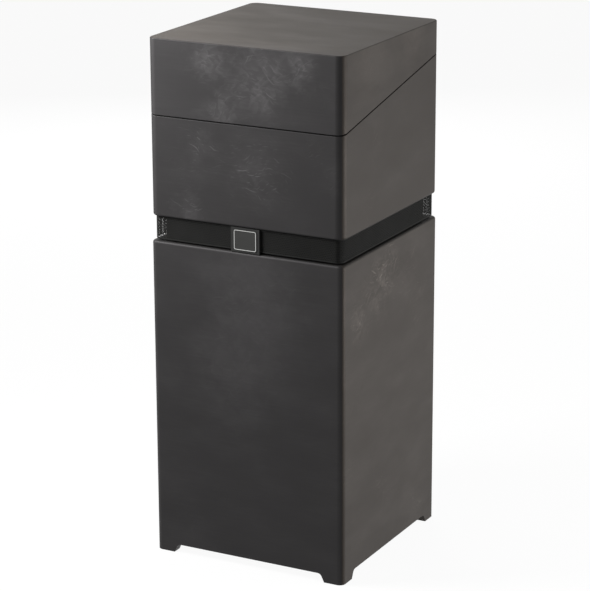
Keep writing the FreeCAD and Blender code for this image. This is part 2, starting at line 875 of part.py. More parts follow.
def grille_strip(side):
    """One side's perforated strip, bent round half of each corner, hung under the upper box."""
    label = f"grille_{side}"
    body = new_body(label)
    low = lower_top + s.grille_gap
    flat = grille_face - s.grille_corner
    bend_inner = s.grille_corner - s.grille_sheet
    outer_end = flat + s.grille_corner * HALF_ROOT
    inner_end = flat + bend_inner * HALF_ROOT
    inner_face = grille_face - s.grille_sheet
    points = [(-flat, -grille_face), (flat, -grille_face)]
    points += [(outer_end, -outer_end), (inner_end, -inner_end)]
    points += [(flat, -inner_face), (-flat, -inner_face)]
    points += [(-inner_end, -inner_end), (-outer_end, -outer_end)]
    arcs = {1: (s.grille_corner, 1), 3: (bend_inner, -1), 5: (bend_inner, -1), 7: (s.grille_corner, 1)}
    pad(outline(sketch_on(body, "XY_Plane", low), points, arcs), upper_bottom - low)
    holes = sketch_on(body, "XZ_Plane", half)
    pitch = (flat - s.hole_margin) * 2 / (GRILLE_COLUMNS - 0.5)
    run = pitch * (GRILLE_COLUMNS - 1)
    rise = s.row_pitch * (GRILLE_ROWS - 1)
    first_x = s.hole_margin - flat
    first_z = (low + upper_bottom) / 2 - (rise + s.row_pitch / 2) / 2
    for step in (0, 0.5):
        x, z = first_x + pitch * step, first_z + s.row_pitch * step
        reach = s.hole_half
        outline(holes, [(x - reach, z), (x, z - reach), (x + reach, z), (x, z + reach)])
    cut = pocket(holes, s.grille_inset + s.grille_sheet * 2)
    pattern = body.newObject("PartDesign::LinearPattern", f"{label}_holes")
    pattern.Originals = [cut]
    pattern.Direction = (holes, ["H_Axis"])
    bind(pattern, "Length", run)
    pattern.Occurrences = GRILLE_COLUMNS
    pattern.Direction2 = (holes, ["V_Axis"])
    bind(pattern, "Length2", rise)
    pattern.Occurrences2 = GRILLE_ROWS
    body.Tip = pattern
    doc.recompute()
    body.Placement = FreeCAD.Placement(FreeCAD.Vector(), FreeCAD.Rotation(SIDES[side], 0, 0))
    subpart(body, label)


def badge():
    """Carrier plate in the middle of the front band, and the blank badge on it."""
    middle = (lower_top + upper_bottom) / 2
    carrier = new_body("badge_carrier")
    reach = s.carrier_width / 2
    low, high = lower_top + s.carrier_clearance, upper_bottom - s.carrier_clearance
    pad(block(sketch_on(carrier, "XZ_Plane", grille_face), -reach, low, reach, high), s.carrier_depth)
    subpart(carrier, "badge_carrier")
    plate = new_body("badge_plate")
    reach_x, reach_z = s.badge_width / 2, s.badge_height / 2
    face = sketch_on(plate, "XZ_Plane", grille_face + s.carrier_depth)
    rounded_block(face, -reach_x, middle - reach_z, reach_x, middle + reach_z, s.badge_corner)
    pad(face, half - grille_face - s.carrier_depth)
    subpart(plate, "badge_plate")


diffuser()
spacer_posts()
foam_sleeve()
for side in SIDES:
    grille_strip(side)
badge()


# The console under the lid, placed on the control panel's own plane

panel_middle = seam_middle - s.panel_recess


def on_panel(item, x, along, lift=0):
    """Place an item on the sloped panel: across, up the slope, and above the panel's top face."""
    along, lift = as_dim(along), as_dim(lift)
    y = along * slope_cos - lift * slope_sin
    z = panel_middle + along * slope_sin + lift * slope_cos
    return place(item, x, y, z, (1, 0, 0), slope_angle)


KNOBS = {"level_a": -1, "level_b": 0, "tone": 1}


def control_panel():
    """Sloped metal panel with holes for the potentiometers."""
    body = new_body("control_panel")
    wide = (inside - s.panel_clearance) * 2
    sheet_outline = centred_block(sketch_on(body, "XY_Plane"), as_dim(0), as_dim(0), wide, wide / slope_cos)
    pad(sheet_outline, s.panel_sheet, flipped=True)
    holes = sketch_on(body, "XY_Plane")
    for step in KNOBS.values():
        ring(holes, s.knob_spacing * step, s.knob_row, s.bushing_radius + s.bolt_clearance)
    pocket(holes, s.panel_sheet)
    subpart(on_panel(body, 0, 0), "control_panel")


def panel_cleats():
    """Sloped battens on the side walls that carry the control panel."""
    run = s.panel_cleat_length
    pieces = []
    for name, x in (("left", -inside), ("right", inside - s.panel_cleat)):
        cleat = box(f"panel_cleat_{name}", s.panel_cleat, run, s.panel_cleat)
        pieces.append(on_panel(cleat, x, -run / 2, -s.panel_sheet - s.panel_cleat))
    group("panel_cleats", pieces)


def knob(name, step):
    """A skirted knob with a pointer groove, on its potentiometer's shaft."""
    x = s.knob_spacing * step
    bore = s.shaft_radius + s.shaft_clearance
    hollow = s.bushing_radius + s.bushing_room
    low, high = s.knob_lift, s.knob_lift + s.knob_height
    seat = s.bushing_height + s.bushing_room
    waist = low + s.knob_skirt
    roof = high - s.knob_roof
    points = [(hollow, low), (s.knob_radius, low), (s.knob_radius, waist)]
    points += [(s.knob_grip, waist + s.knob_lift), (s.knob_grip - s.knob_taper, high), (0, high)]
    points += [(0, roof), (bore, roof), (bore, seat), (hollow, seat)]
    body = turned(f"{name}_knob", points)
    groove = sketch_on(body, "XY_Plane", high)
    block(groove, -s.pointer_width / 2, s.shaft_radius, s.pointer_width / 2, s.knob_radius)
    pocket(groove, s.pointer_depth)
    subpart(on_panel(body, x, s.knob_row), f"{name}_knob")
    shaft = cylinder(f"{name}_shaft", s.shaft_radius, roof - s.shaft_clearance + s.shaft_depth)
    subpart(on_panel(shaft, x, s.knob_row, -s.shaft_depth), f"{name}_shaft")


def potentiometers():
    pieces = []
    bore = s.shaft_radius + s.shaft_clearance
    low = -s.panel_sheet - s.pot_depth
    for name, step in KNOBS.items():
        points = [(bore, low), (s.pot_radius, low), (s.pot_radius, -s.panel_sheet)]
        points += [(s.bushing_radius, -s.panel_sheet), (s.bushing_radius, s.bushing_height)]
        points.append((bore, s.bushing_height))
        pieces.append(on_panel(turned(f"{name}_potentiometer", points), s.knob_spacing * step, s.knob_row))
    group("potentiometers", pieces)


control_panel()
panel_cleats()
potentiometers()
for name, step in KNOBS.items():
    knob(name, step)


# Electronics on the upper floor

transformer_place = inside - s.transformer_inset


def amplifier():
    """Amplifier board on standoffs, cut to fit between the front wall and the transformer."""
    front = s.amp_clearance - inside
    rear = transformer_place - s.transformer_radius - s.amp_gap
    middle = (front + rear) / 2
    reach_x, reach_y = s.amp_length / 2, (rear - front) / 2
    level = floor_top + s.standoff_height
    body = new_body("amplifier_board")
    pad(block(sketch_on(body, "XY_Plane"), -reach_x, -reach_y, reach_x, reach_y), s.amp_sheet)
    subpart(place(body, 0, middle, level), "amplifier_board")
    pieces = []
    for number, (turn_x, turn_y) in enumerate(((1, 1), (-1, 1), (-1, -1), (1, -1)), start=1):
        x = turn_x * (reach_x - s.standoff_inset)
        y = turn_y * (reach_y - s.standoff_inset) + middle
        pieces.append(cylinder(f"standoff_{number}", s.standoff_radius, s.standoff_height, x, y, floor_top))
    group("board_standoffs", pieces)


def transformer():
    """Toroidal mains transformer with rounded shoulders."""
    bend = s.transformer_bend
    outer, inner, high = s.transformer_radius, s.transformer_bore, s.transformer_height
    points = [(inner, 0), (outer, 0), (outer, high - bend), (outer - bend, high), (inner + bend, high)]
    points.append((inner, high - bend))
    arcs = {2: (bend, 1), 4: (bend, 1)}
    body = turned("power_transformer", points, arcs, y=transformer_place, z=floor_top)
    subpart(body, "power_transformer")


amplifier()
transformer()


# Connectors, drawn in the rear recess as if it faced the front, then turned round

recess_floor = half - s.recess_depth


def rear_item(body):
    body.Placement = FreeCAD.Placement(FreeCAD.Vector(), FreeCAD.Rotation(SIDES["rear"], 0, 0))
    return body


def inlet_outline(sketch, x, z, wide, tall):
    """A block with the two corners nearest the earth pin cut off."""
    left, right, low, high = x - wide / 2, x + wide / 2, z - tall / 2, z + tall / 2
    shoulder = high - s.inlet_chamfer
    points = [(left, low), (right, low), (right, shoulder), (right - s.inlet_chamfer, high)]
    points += [(left + s.inlet_chamfer, high), (left, shoulder)]
    return outline(sketch, points)


def mains_inlet():
    """Three-pin appliance inlet: flange, body, socket and pins."""
    body = new_body("mains_inlet")
    x, z = -s.inlet_offset, recess_middle
    back = recess_floor - s.inlet_depth + s.inlet_wall
    flange = sketch_on(body, "XZ_Plane", recess_floor)
    reach_x, reach_z = s.inlet_width / 2 + s.inlet_flange, s.inlet_height / 2 + s.inlet_rim
    rounded_block(flange, x - reach_x, z - reach_z, x + reach_x, z + reach_z, s.inlet_corner)
    pad(flange, s.inlet_lip)
    inner = sketch_on(body, "XZ_Plane", recess_floor)
    pad(inlet_outline(inner, x, z, s.inlet_width, s.inlet_height), s.inlet_depth, flipped=True)
    mouth = sketch_on(body, "XZ_Plane", recess_floor + s.inlet_lip)
    inlet_outline(mouth, x, z, s.inlet_width - s.inlet_wall * 2, s.inlet_height - s.inlet_wall * 2)
    pocket(mouth, s.inlet_lip + s.inlet_depth - s.inlet_wall)
    pins = sketch_on(body, "XZ_Plane", back)
    for step_x, step_z in ((-1, -1), (0, 1), (1, -1)):
        pin_x, pin_z = x + s.pin_spacing * step_x, z + s.pin_stagger * step_z
        centred_block(pins, pin_x, pin_z, s.pin_width, s.pin_height)
    pad(pins, s.inlet_depth - s.inlet_wall * 2)
    subpart(rear_item(body), "mains_inlet")


def input_sockets():
    """Phono line sockets, one above the other: lip, collar and a bored core through the recess floor."""
    pieces = []
    for name, step in (("low", -1), ("high", 1)):
        bore, collar, lip = s.socket_bore, s.socket_radius, s.socket_flange
        section = [(bore, -s.socket_depth), (collar, -s.socket_depth), (collar, 0), (lip, 0)]
        section += [(lip, s.socket_lip), (collar, s.socket_lip), (collar, s.socket_length)]
        section.append((bore, s.socket_length))
        level = recess_middle + s.socket_spacing / 2 * step
        body = turned(f"input_socket_{name}", section)
        pieces.append(place(body, -s.socket_offset, recess_floor, level, (1, 0, 0), -90))
    group("input_sockets", pieces)


def power_switch():
    """Rocker in its frame, tipped to the off side, on a pin through the frame."""
    x, z = s.switch_offset, recess_middle
    frame = new_body("switch_frame")
    flange = sketch_on(frame, "XZ_Plane", recess_floor)
    border = s.switch_flange * 2
    pad(centred_block(flange, x, z, s.switch_width + border, s.switch_height + border), s.switch_lip)
    sleeve = sketch_on(frame, "XZ_Plane", recess_floor)
    pad(centred_block(sleeve, x, z, s.switch_width, s.switch_height), s.switch_depth, flipped=True)
    mouth = sketch_on(frame, "XZ_Plane", recess_floor + s.switch_lip)
    centred_block(mouth, x, z, s.switch_width - s.switch_wall * 2, s.switch_height - s.switch_wall * 2)
    pocket(mouth, s.switch_depth)
    pivot = recess_floor - s.rocker_depth
    seat = ring(sketch_on(frame, "YZ_Plane"), -pivot, z, s.rocker_pin + s.shaft_clearance)
    pocket(seat, both_ways=True)
    subpart(rear_item(frame), "switch_frame")
    rocker = new_body("power_rocker")
    tall = s.switch_height / 2 - s.switch_wall - s.rocker_clearance
    wide = s.switch_width - s.switch_wall * 2 - s.rocker_clearance
    face = s.rocker_depth + s.rocker_rise
    points = [(-s.rocker_depth, -s.rocker_foot), (s.rocker_depth, -tall), (face, -tall)]
    points += [(face - s.rocker_dip, 0), (face, tall), (s.rocker_depth, tall)]
    points.append((-s.rocker_depth, s.rocker_foot))
    pad(outline(sketch_on(rocker, "YZ_Plane"), points), wide, both_ways=True)
    pad(ring(sketch_on(rocker, "YZ_Plane"), 0, 0, s.rocker_pin), s.switch_width, both_ways=True)
    subpart(place(rocker, -x, pivot, z, (1, 0, 0), s.switch_tilt), "power_rocker")


mains_inlet()
input_sockets()
power_switch()


# Lid hinges along the rear seam: the two leaves fill the seam's gap

hinge_depth = half - s.hinge_radius
hinge_level = seam_height(hinge_depth)
leaf_sheet = s.seam_gap * slope_cos / 2 - s.bumper_clearance


def on_hinge(name, radius, x, run):
    """A round piece along the hinge's axis."""
    return cylinder(name, radius, run, x, hinge_depth, hinge_level, (0, 1, 0), 90)


def leaf(name, x, run, upper, reach):
    """A leaf's strip on the sloped seam face; reach is how near it comes to the pin."""
    lift = as_dim(s.bumper_clearance / 2) if upper else -leaf_sheet - s.bumper_clearance / 2
    back = -s.leaf_width - s.hinge_radius - s.hinge_clearance
    item = box(name, run, -back - reach, leaf_sheet)
    y = hinge_depth + back * slope_cos - lift * slope_sin
    z = hinge_level + back * slope_sin + lift * slope_cos
    return place(item, x, y, z, (1, 0, 0), slope_angle)


def hinges():
    """Two butt hinges: outer knuckles on the box, the middle one on the lid."""
    clear = s.hinge_radius + s.hinge_clearance
    joined = s.hinge_radius / 2
    outer_run = (s.hinge_length - s.hinge_middle) / 2 - s.hinge_clearance
    halves = {"box": [], "lid": []}
    pins = []
    for name, step in (("left", -1), ("right", 1)):
        middle = hinge_offset * step
        start = middle - s.hinge_length / 2
        inner = middle - s.hinge_middle / 2
        last = middle + s.hinge_length / 2 - outer_run
        sections = {
            "box": [on_hinge(f"{name}_box_first", s.hinge_radius, start, outer_run),
                    on_hinge(f"{name}_box_last", s.hinge_radius, last, outer_run),
                    leaf(f"{name}_box_strip", start, s.hinge_length, False, clear),
                    leaf(f"{name}_box_tab_first", start, outer_run, False, joined),
                    leaf(f"{name}_box_tab_last", last, outer_run, False, joined)],
            "lid": [on_hinge(f"{name}_lid_middle", s.hinge_radius, inner, s.hinge_middle),
                    leaf(f"{name}_lid_strip", start, s.hinge_length, True, clear),
                    leaf(f"{name}_lid_tab", inner, s.hinge_middle, True, joined)],
        }
        for part, pieces in sections.items():
            bore = on_hinge(f"{name}_{part}_bore", s.hinge_pin + s.shaft_clearance, start, s.hinge_length)
            solid = fused(f"{name}_{part}_leaf", pieces)
            halves[part].append(cut_from(f"{name}_{part}_hinge", solid, bore))
        pins.append(on_hinge(f"{name}_hinge_pin", s.hinge_pin, start, s.hinge_length))
    for part, pieces in halves.items():
        group(f"hinge_{part}_leaves", pieces)
    group("hinge_pins", pins)


def lid_bumpers():
    """Felt discs on the rim that hold the seam open by its gap."""
    thickness = s.seam_gap * slope_cos - s.bumper_clearance * 2
    across = (half + inside) / 2
    pieces = []
    for number, (turn_x, turn_y) in enumerate(((1, 1), (-1, 1), (-1, -1), (1, -1)), start=1):
        y = turn_y * (half - s.bumper_inset)
        disc = cylinder(f"lid_bumper_{number}", s.bumper_radius, thickness)
        z = seam_height(y) - s.seam_gap / 2 + s.bumper_clearance
        pieces.append(place(disc, turn_x * across, y, z, (1, 0, 0), slope_angle))
    group("lid_bumpers", pieces)


hinges()
lid_bumpers()


# Check every object, then write each sub-part

doc.recompute()
for item in doc.Objects:
    if "Invalid" in item.State or "Error" in item.State:
        raise RuntimeError(f"{item.Label} failed: {item.State}")
for item in subparts:
    if item.Shape.isNull() or not item.Shape.isValid():
        raise RuntimeError(f"{item.Label} has no valid shape")

os.makedirs("parts", exist_ok=True)
for item in subparts:
    item.Shape.exportStep(os.path.join("parts", f"{item.Label}.step"))
print(len(subparts), "sub-parts written")
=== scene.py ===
import json
import math

import bpy
from mathutils import Matrix, Vector


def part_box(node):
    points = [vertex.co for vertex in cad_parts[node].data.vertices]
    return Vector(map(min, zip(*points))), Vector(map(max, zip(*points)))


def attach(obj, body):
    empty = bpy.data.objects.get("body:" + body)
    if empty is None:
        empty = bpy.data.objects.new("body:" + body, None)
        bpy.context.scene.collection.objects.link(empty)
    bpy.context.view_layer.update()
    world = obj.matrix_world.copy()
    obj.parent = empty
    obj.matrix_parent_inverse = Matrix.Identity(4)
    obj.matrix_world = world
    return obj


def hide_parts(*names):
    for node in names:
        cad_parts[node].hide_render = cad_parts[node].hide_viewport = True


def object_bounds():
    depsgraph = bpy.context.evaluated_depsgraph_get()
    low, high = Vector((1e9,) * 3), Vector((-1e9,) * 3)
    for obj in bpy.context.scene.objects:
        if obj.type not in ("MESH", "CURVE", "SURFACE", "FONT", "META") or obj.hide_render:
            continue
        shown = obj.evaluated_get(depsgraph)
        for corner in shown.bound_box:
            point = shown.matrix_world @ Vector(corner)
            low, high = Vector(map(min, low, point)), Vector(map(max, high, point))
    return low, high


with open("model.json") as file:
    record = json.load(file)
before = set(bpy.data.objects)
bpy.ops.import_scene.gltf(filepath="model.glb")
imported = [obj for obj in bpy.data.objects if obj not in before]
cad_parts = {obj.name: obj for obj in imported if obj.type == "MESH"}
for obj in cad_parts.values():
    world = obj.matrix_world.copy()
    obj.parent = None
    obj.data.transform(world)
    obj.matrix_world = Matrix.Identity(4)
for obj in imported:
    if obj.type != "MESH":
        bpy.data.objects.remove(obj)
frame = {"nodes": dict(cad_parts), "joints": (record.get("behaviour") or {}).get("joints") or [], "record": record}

CAD_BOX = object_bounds()
MM = 0.001
SIDES = {"front": 0, "right": 90, "rear": 180, "left": 270}
REARWARD = Vector((0, 1, 0))
UPWARD = Vector((0, 0, 1))

# Levels and places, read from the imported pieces
REAR_FACE = CAD_BOX[1].y
GRILLE_LOW, GRILLE_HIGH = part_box("grille_front")
BADGE_LOW, BADGE_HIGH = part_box("badge_plate")
JOINTS = {joint["name"]: joint for joint in frame["joints"]}
PANEL_NORMAL = Vector(JOINTS["tone_turn"]["axis"]).normalized()
PANEL_ACROSS = Vector((1, 0, 0))
PANEL_UP = PANEL_NORMAL.cross(PANEL_ACROSS)

# The grille's sheet
GRILLE_BEND = 12 * MM
GRILLE_SHEET = 0.5 * MM
HOLE_PITCH = 3 * MM
HOLE_RADIUS = 0.95 * MM
HOLE_ROWS = 12
HOLE_SIDES = 8
GRILLE_EDGE = 2 * MM

# The badge's border
BADGE_CORNER = 4 * MM
BORDER_INSET = 1.2 * MM
BORDER_WIDTH = 0.9 * MM
BORDER_PROUD = 0.12 * MM

# The console; a knob's outline runs up from its foot, by radius, height and whether it is fluted there
KNOBS = {"level_a": "level_a_turn", "level_b": "level_b_turn", "tone": "tone_turn"}
KNOB_LIFT = 1 * MM
KNOB_HEIGHT = 17 * MM
KNOB_OUTLINE = (
    (5.2 * MM, 0, False), (10.6 * MM, 0, False), (11 * MM, 0.4 * MM, False), (11 * MM, 3.4 * MM, False),
    (10.4 * MM, 4.1 * MM, False), (9 * MM, 5.2 * MM, True), (8.6 * MM, 15.8 * MM, True),
    (7.9 * MM, 16.7 * MM, False), (7.2 * MM, 17 * MM, False), (0.3 * MM, 16.75 * MM, False),
)
KNOB_FLUTES = 20
FLUTE_STEPS = 6
FLUTE_DEPTH = 0.45 * MM
POINTER_WIDTH = 1 * MM
POINTER_START = 2.2 * MM
POINTER_END = 7.6 * MM
POINTER_SUNK = 0.2 * MM
POINTER_PROUD = 0.08 * MM
DIAL_SWEEP = 150
DIAL_STEPS = 10
TICK_INNER = 13.5 * MM
TICK_LONG = 3.6 * MM
TICK_SHORT = 2.2 * MM
TICK_WIDTH = 0.5 * MM
PRINT_HEIGHT = 0.05 * MM
NUMERAL_RADIUS = 21.5 * MM
NUMERAL_SIZE = 4.6 * MM

# Screws; a pan head's outline is in shares of its radius and rise
SCREW_HEAD = 3 * MM
SCREW_RISE = 1.7 * MM
PAN_OUTLINE = ((1, 0), (1, 0.5), (0.86, 0.85), (0.66, 1))
SCREW_FLAT = 2.1 * MM
FLAT_DEPTH = 0.4 * MM
SCREW_STEPS = 48
SCREW_INSET = 11 * MM
CROSS_LONG = 1.5 * MM
CROSS_WIDE = 0.45 * MM
CROSS_FLOOR = 0.3
EAR_INSET = 4.6 * MM
PORT_SCREW_INSET = 4.4 * MM
LEAF_MIDDLE = 7.8 * MM
LEAF_SCREW_STEP = 13 * MM
HINGE_LENGTH = 40 * MM

# The rocker's marks and the sockets' rings
ROCKER_TILT = math.radians(8)
MARK_FACE = 4.05 * MM
MARK_REACH = 4.6 * MM
MARK_SUNK = 0.1 * MM
ON_WIDTH = 0.5 * MM
ON_LENGTH = 3 * MM
ON_PROUD = 0.12 * MM
OFF_INNER = 1 * MM
OFF_OUTER = 1.5 * MM
OFF_PROUD = 0.08 * MM
OFF_STEPS = 32
RECESS_DEPTH = 12 * MM
SOCKET_LIP = 2 * MM
RING_INNER = 4.2 * MM
RING_OUTER = 6.1 * MM
RING_SIDE = 0.48 * MM
RING_RISE = 0.8 * MM
RING_EASE = 0.4 * MM
RING_STEPS = 48

# Roughness of a clear coat
COAT_ROUGHNESS = 0.2

# The veneer's strokes, by cell, half length, half width, bow and strength, and its flakes, by cell, turn,
# stretch and strength; lengths in metres, turns in radians
STROKES = (
    (0.03, 0.014, 0.0012, 9.0, 0.9), (0.016, 0.007, 0.001, 16.0, 0.7), (0.009, 0.004, 0.0008, 25.0, 0.5),
)
FLAKES = ((0.028, 0.8, 1.9, 0.5), (0.018, -0.7, 2.2, 0.45), (0.011, 0.25, 1.8, 0.4))

# Its stain, and how much darker the rounded edges are painted, as painted shade
STAIN_DARK = (0.026, 0.026, 0.026)
STAIN_PALE = (0.045, 0.045, 0.045)
PLUME_PALE = (0.115, 0.115, 0.115)
EDGE_PAINTED_SHADE = 0.75

# Its tints: a painted light tint for the top, painted shade for the rims inside the seam and the band, and a
# painted light tint for each side
TOP_PAINTED_LIGHT_TINT = (1.0, 0.86, 0.75)
# Painted shade: the upward rims inside the seam and under the band are darkened with it
RIM_PAINTED_SHADE = (0.3, 0.29, 0.28)
FACE_PAINTED_LIGHT_TINTS = {
    "front": (1.0, 0.96, 0.975), "right": (1.0, 0.87, 0.77), "rear": (1.0, 0.93, 0.88),
    "left": (1.0, 0.93, 0.88), "top": TOP_PAINTED_LIGHT_TINT,
}

# Its figure on each panel: the tone, how pale, flaked and stroked the plumes are, and where they lie, by
# place across and up the panel and radius, in metres
FIGURE_STEP = 0.61
QUIET_FIGURE = (0.0, 0.1, 0.12, 0.15, ())
FIGURES = {
    "lid_front": (0.0, 0.3, 0.38, 0.45, (
        (0.015, 0.785, 0.065), (0.055, 0.812, 0.05), (-0.06, 0.822, 0.045), (0.1, 0.83, 0.03),
        (-0.045, 0.742, 0.026))),
    "lid_right": (0.03, 0.3, 0.1, 0.2, ((-0.08, 0.83, 0.09), (0.06, 0.84, 0.07))),
    "lid_rear": (0.0, 0.25, 0.25, 0.4, ((0.07, 0.825, 0.04), (-0.1, 0.83, 0.03))),
    "lid_left": (0.0, 0.25, 0.3, 0.4, ((0.06, 0.82, 0.05), (-0.08, 0.79, 0.05))),
    "upper_front": (-0.02, 0.2, 0.14, 0.85, ((-0.08, 0.69, 0.03), (0.02, 0.655, 0.07), (-0.1, 0.58, 0.025))),
    "upper_right": (-0.1, 0.1, 0.05, 0.3, ((-0.05, 0.7, 0.04), (-0.08, 0.6, 0.03))),
    "upper_rear": (0.0, 0.22, 0.2, 0.7, ((0.1, 0.71, 0.05), (-0.08, 0.72, 0.05), (-0.11, 0.61, 0.03))),
    "upper_left": (0.0, 0.22, 0.2, 0.7, ((-0.05, 0.65, 0.06), (0.09, 0.72, 0.05))),
    # Its broad pale plumes make the lower front lighter towards its top
    "lower_front": (0.0, 0.24, 0.08, 0.12, ((0.0, 0.49, 0.12), (0.01, 0.4, 0.14), (-0.02, 0.3, 0.1))),
    "lower_right": (-0.02, 0.05, 0.35, 1.1, (
        (-0.02, 0.485, 0.045), (-0.05, 0.45, 0.05), (-0.11, 0.42, 0.035))),
    "lower_rear": (0.0, 0.22, 0.15, 0.45, ((-0.04, 0.44, 0.09), (0.05, 0.33, 0.08))),
    "lower_left": (0.0, 0.22, 0.15, 0.45, ((0.04, 0.46, 0.08), (-0.05, 0.36, 0.09))),
}

# The stage: light from the sky, how white the floor is where it is seen, and each lamp's place, aim, width,
# height and watts
AMBIENT = 0.13
FLOOR_GLOW = 0.94
FLOOR_REACH = 30.0
DULL_PAPER = (0.3, 0.3, 0.3)
PAPER_DARK = (0.88, 0.88, 0.88)
PAPER_PALE = (0.92, 0.92, 0.92)
LAMPS = {
    "key": ((-0.8, -0.6, 1.15), (0, -0.15, 0.85), 0.5, 0.5, 24.5),
    "top_left": ((-0.5, -0.35, 1.5), (-0.1, -0.1, 0.85), 0.5, 0.5, 5),
    "right_floor": ((1.4, 0.3, 0.25), (0.17, 0.05, 0.1), 1.0, 0.5, 14),
    "right_high": ((1.5, 0.4, 1.6), (0.17, 0.0, 0.8), 0.8, 0.8, 9),
    "back_glow": ((-2.0, 2.2, 1.6), (0, 0, 0.5), 1.5, 1.5, 5.5),
    "rear_fill": ((-1.6, 2.6, 1.4), (0, 0, 0.5), 1.5, 1.5, 50),
}
UNMIRRORED = ("rear_fill",)

# The camera of the photograph
CAMERA_PLACE = Vector((1.81677, -3.42446, 1.58332))
CAMERA_YAW = 27.987
CAMERA_PITCH = 16.840
CAMERA_ROLL = -0.240
FOCAL_PIXELS = 2503.97
PHOTO_HEIGHT = 591
SENSOR = 36.0
CAMERA_FAR = 100.0


class Signal:
    """A shader socket; sums on it add Math nodes to its tree."""

    def __init__(self, nodes, socket):
        self.nodes = nodes
        self.socket = socket

    def maths(self, operation, *values):
        return self.nodes.node("ShaderNodeMath", {"operation": operation}, dict(enumerate(values)))

    def __add__(self, other):
        return self.maths("ADD", self, other)

    def __sub__(self, other):
        return self.maths("SUBTRACT", self, other)

    def __mul__(self, other):
        return self.maths("MULTIPLY", self, other)

    def __truediv__(self, other):
        return self.maths("DIVIDE", self, other)

    def __radd__(self, other):
        return self.maths("ADD", other, self)

    def __rsub__(self, other):
        return self.maths("SUBTRACT", other, self)

    def __rmul__(self, other):
        return self.maths("MULTIPLY", other, self)

    def __rtruediv__(self, other):
        return self.maths("DIVIDE", other, self)

    def smooth(self, low, high):
        """0 below low, 1 above high, eased between."""
        settings = {"interpolation_type": "SMOOTHSTEP"}
        return self.nodes.node("ShaderNodeMapRange", settings, {0: self, 1: low, 2: high, 3: 0.0, 4: 1.0})

    def part(self, axis):
        return self.nodes.node("ShaderNodeSeparateXYZ", {}, {0: self}, out=axis)

    def sibling(self, out):
        """Another output of the same node."""
        return Signal(self.nodes, self.socket.node.outputs[out])


class Nodes:
    """The node tree of a material or of the sky."""

    def __init__(self, tree):
        self.tree = tree

    def join(self, socket, value):
        """Link a signal to a socket, or set the socket's own value."""
        if isinstance(value, Signal):
            self.tree.links.new(value.socket, socket)
        else:
            socket.default_value = value

    def node(self, kind, settings, sockets, out=0):
        """Add a node: its settings first, then the values or links of its sockets."""
        made = self.tree.nodes.new(kind)
        for key, value in settings.items():
            setattr(made, key, value)
        for key, value in sockets.items():
            self.join(made.inputs[key], value)
        return Signal(self, made.outputs[out])

    def seen_rays(self):
        """1 for rays seen straight on, in a reflection or through glass, 0 for other light."""
        rays = self.node("ShaderNodeLightPath", {}, {})
        mirrored = rays.maths("MAXIMUM", rays.sibling("Is Glossy Ray"), rays.sibling("Is Transmission Ray"))
        return rays.maths("MAXIMUM", rays.sibling("Is Camera Ray"), mirrored)


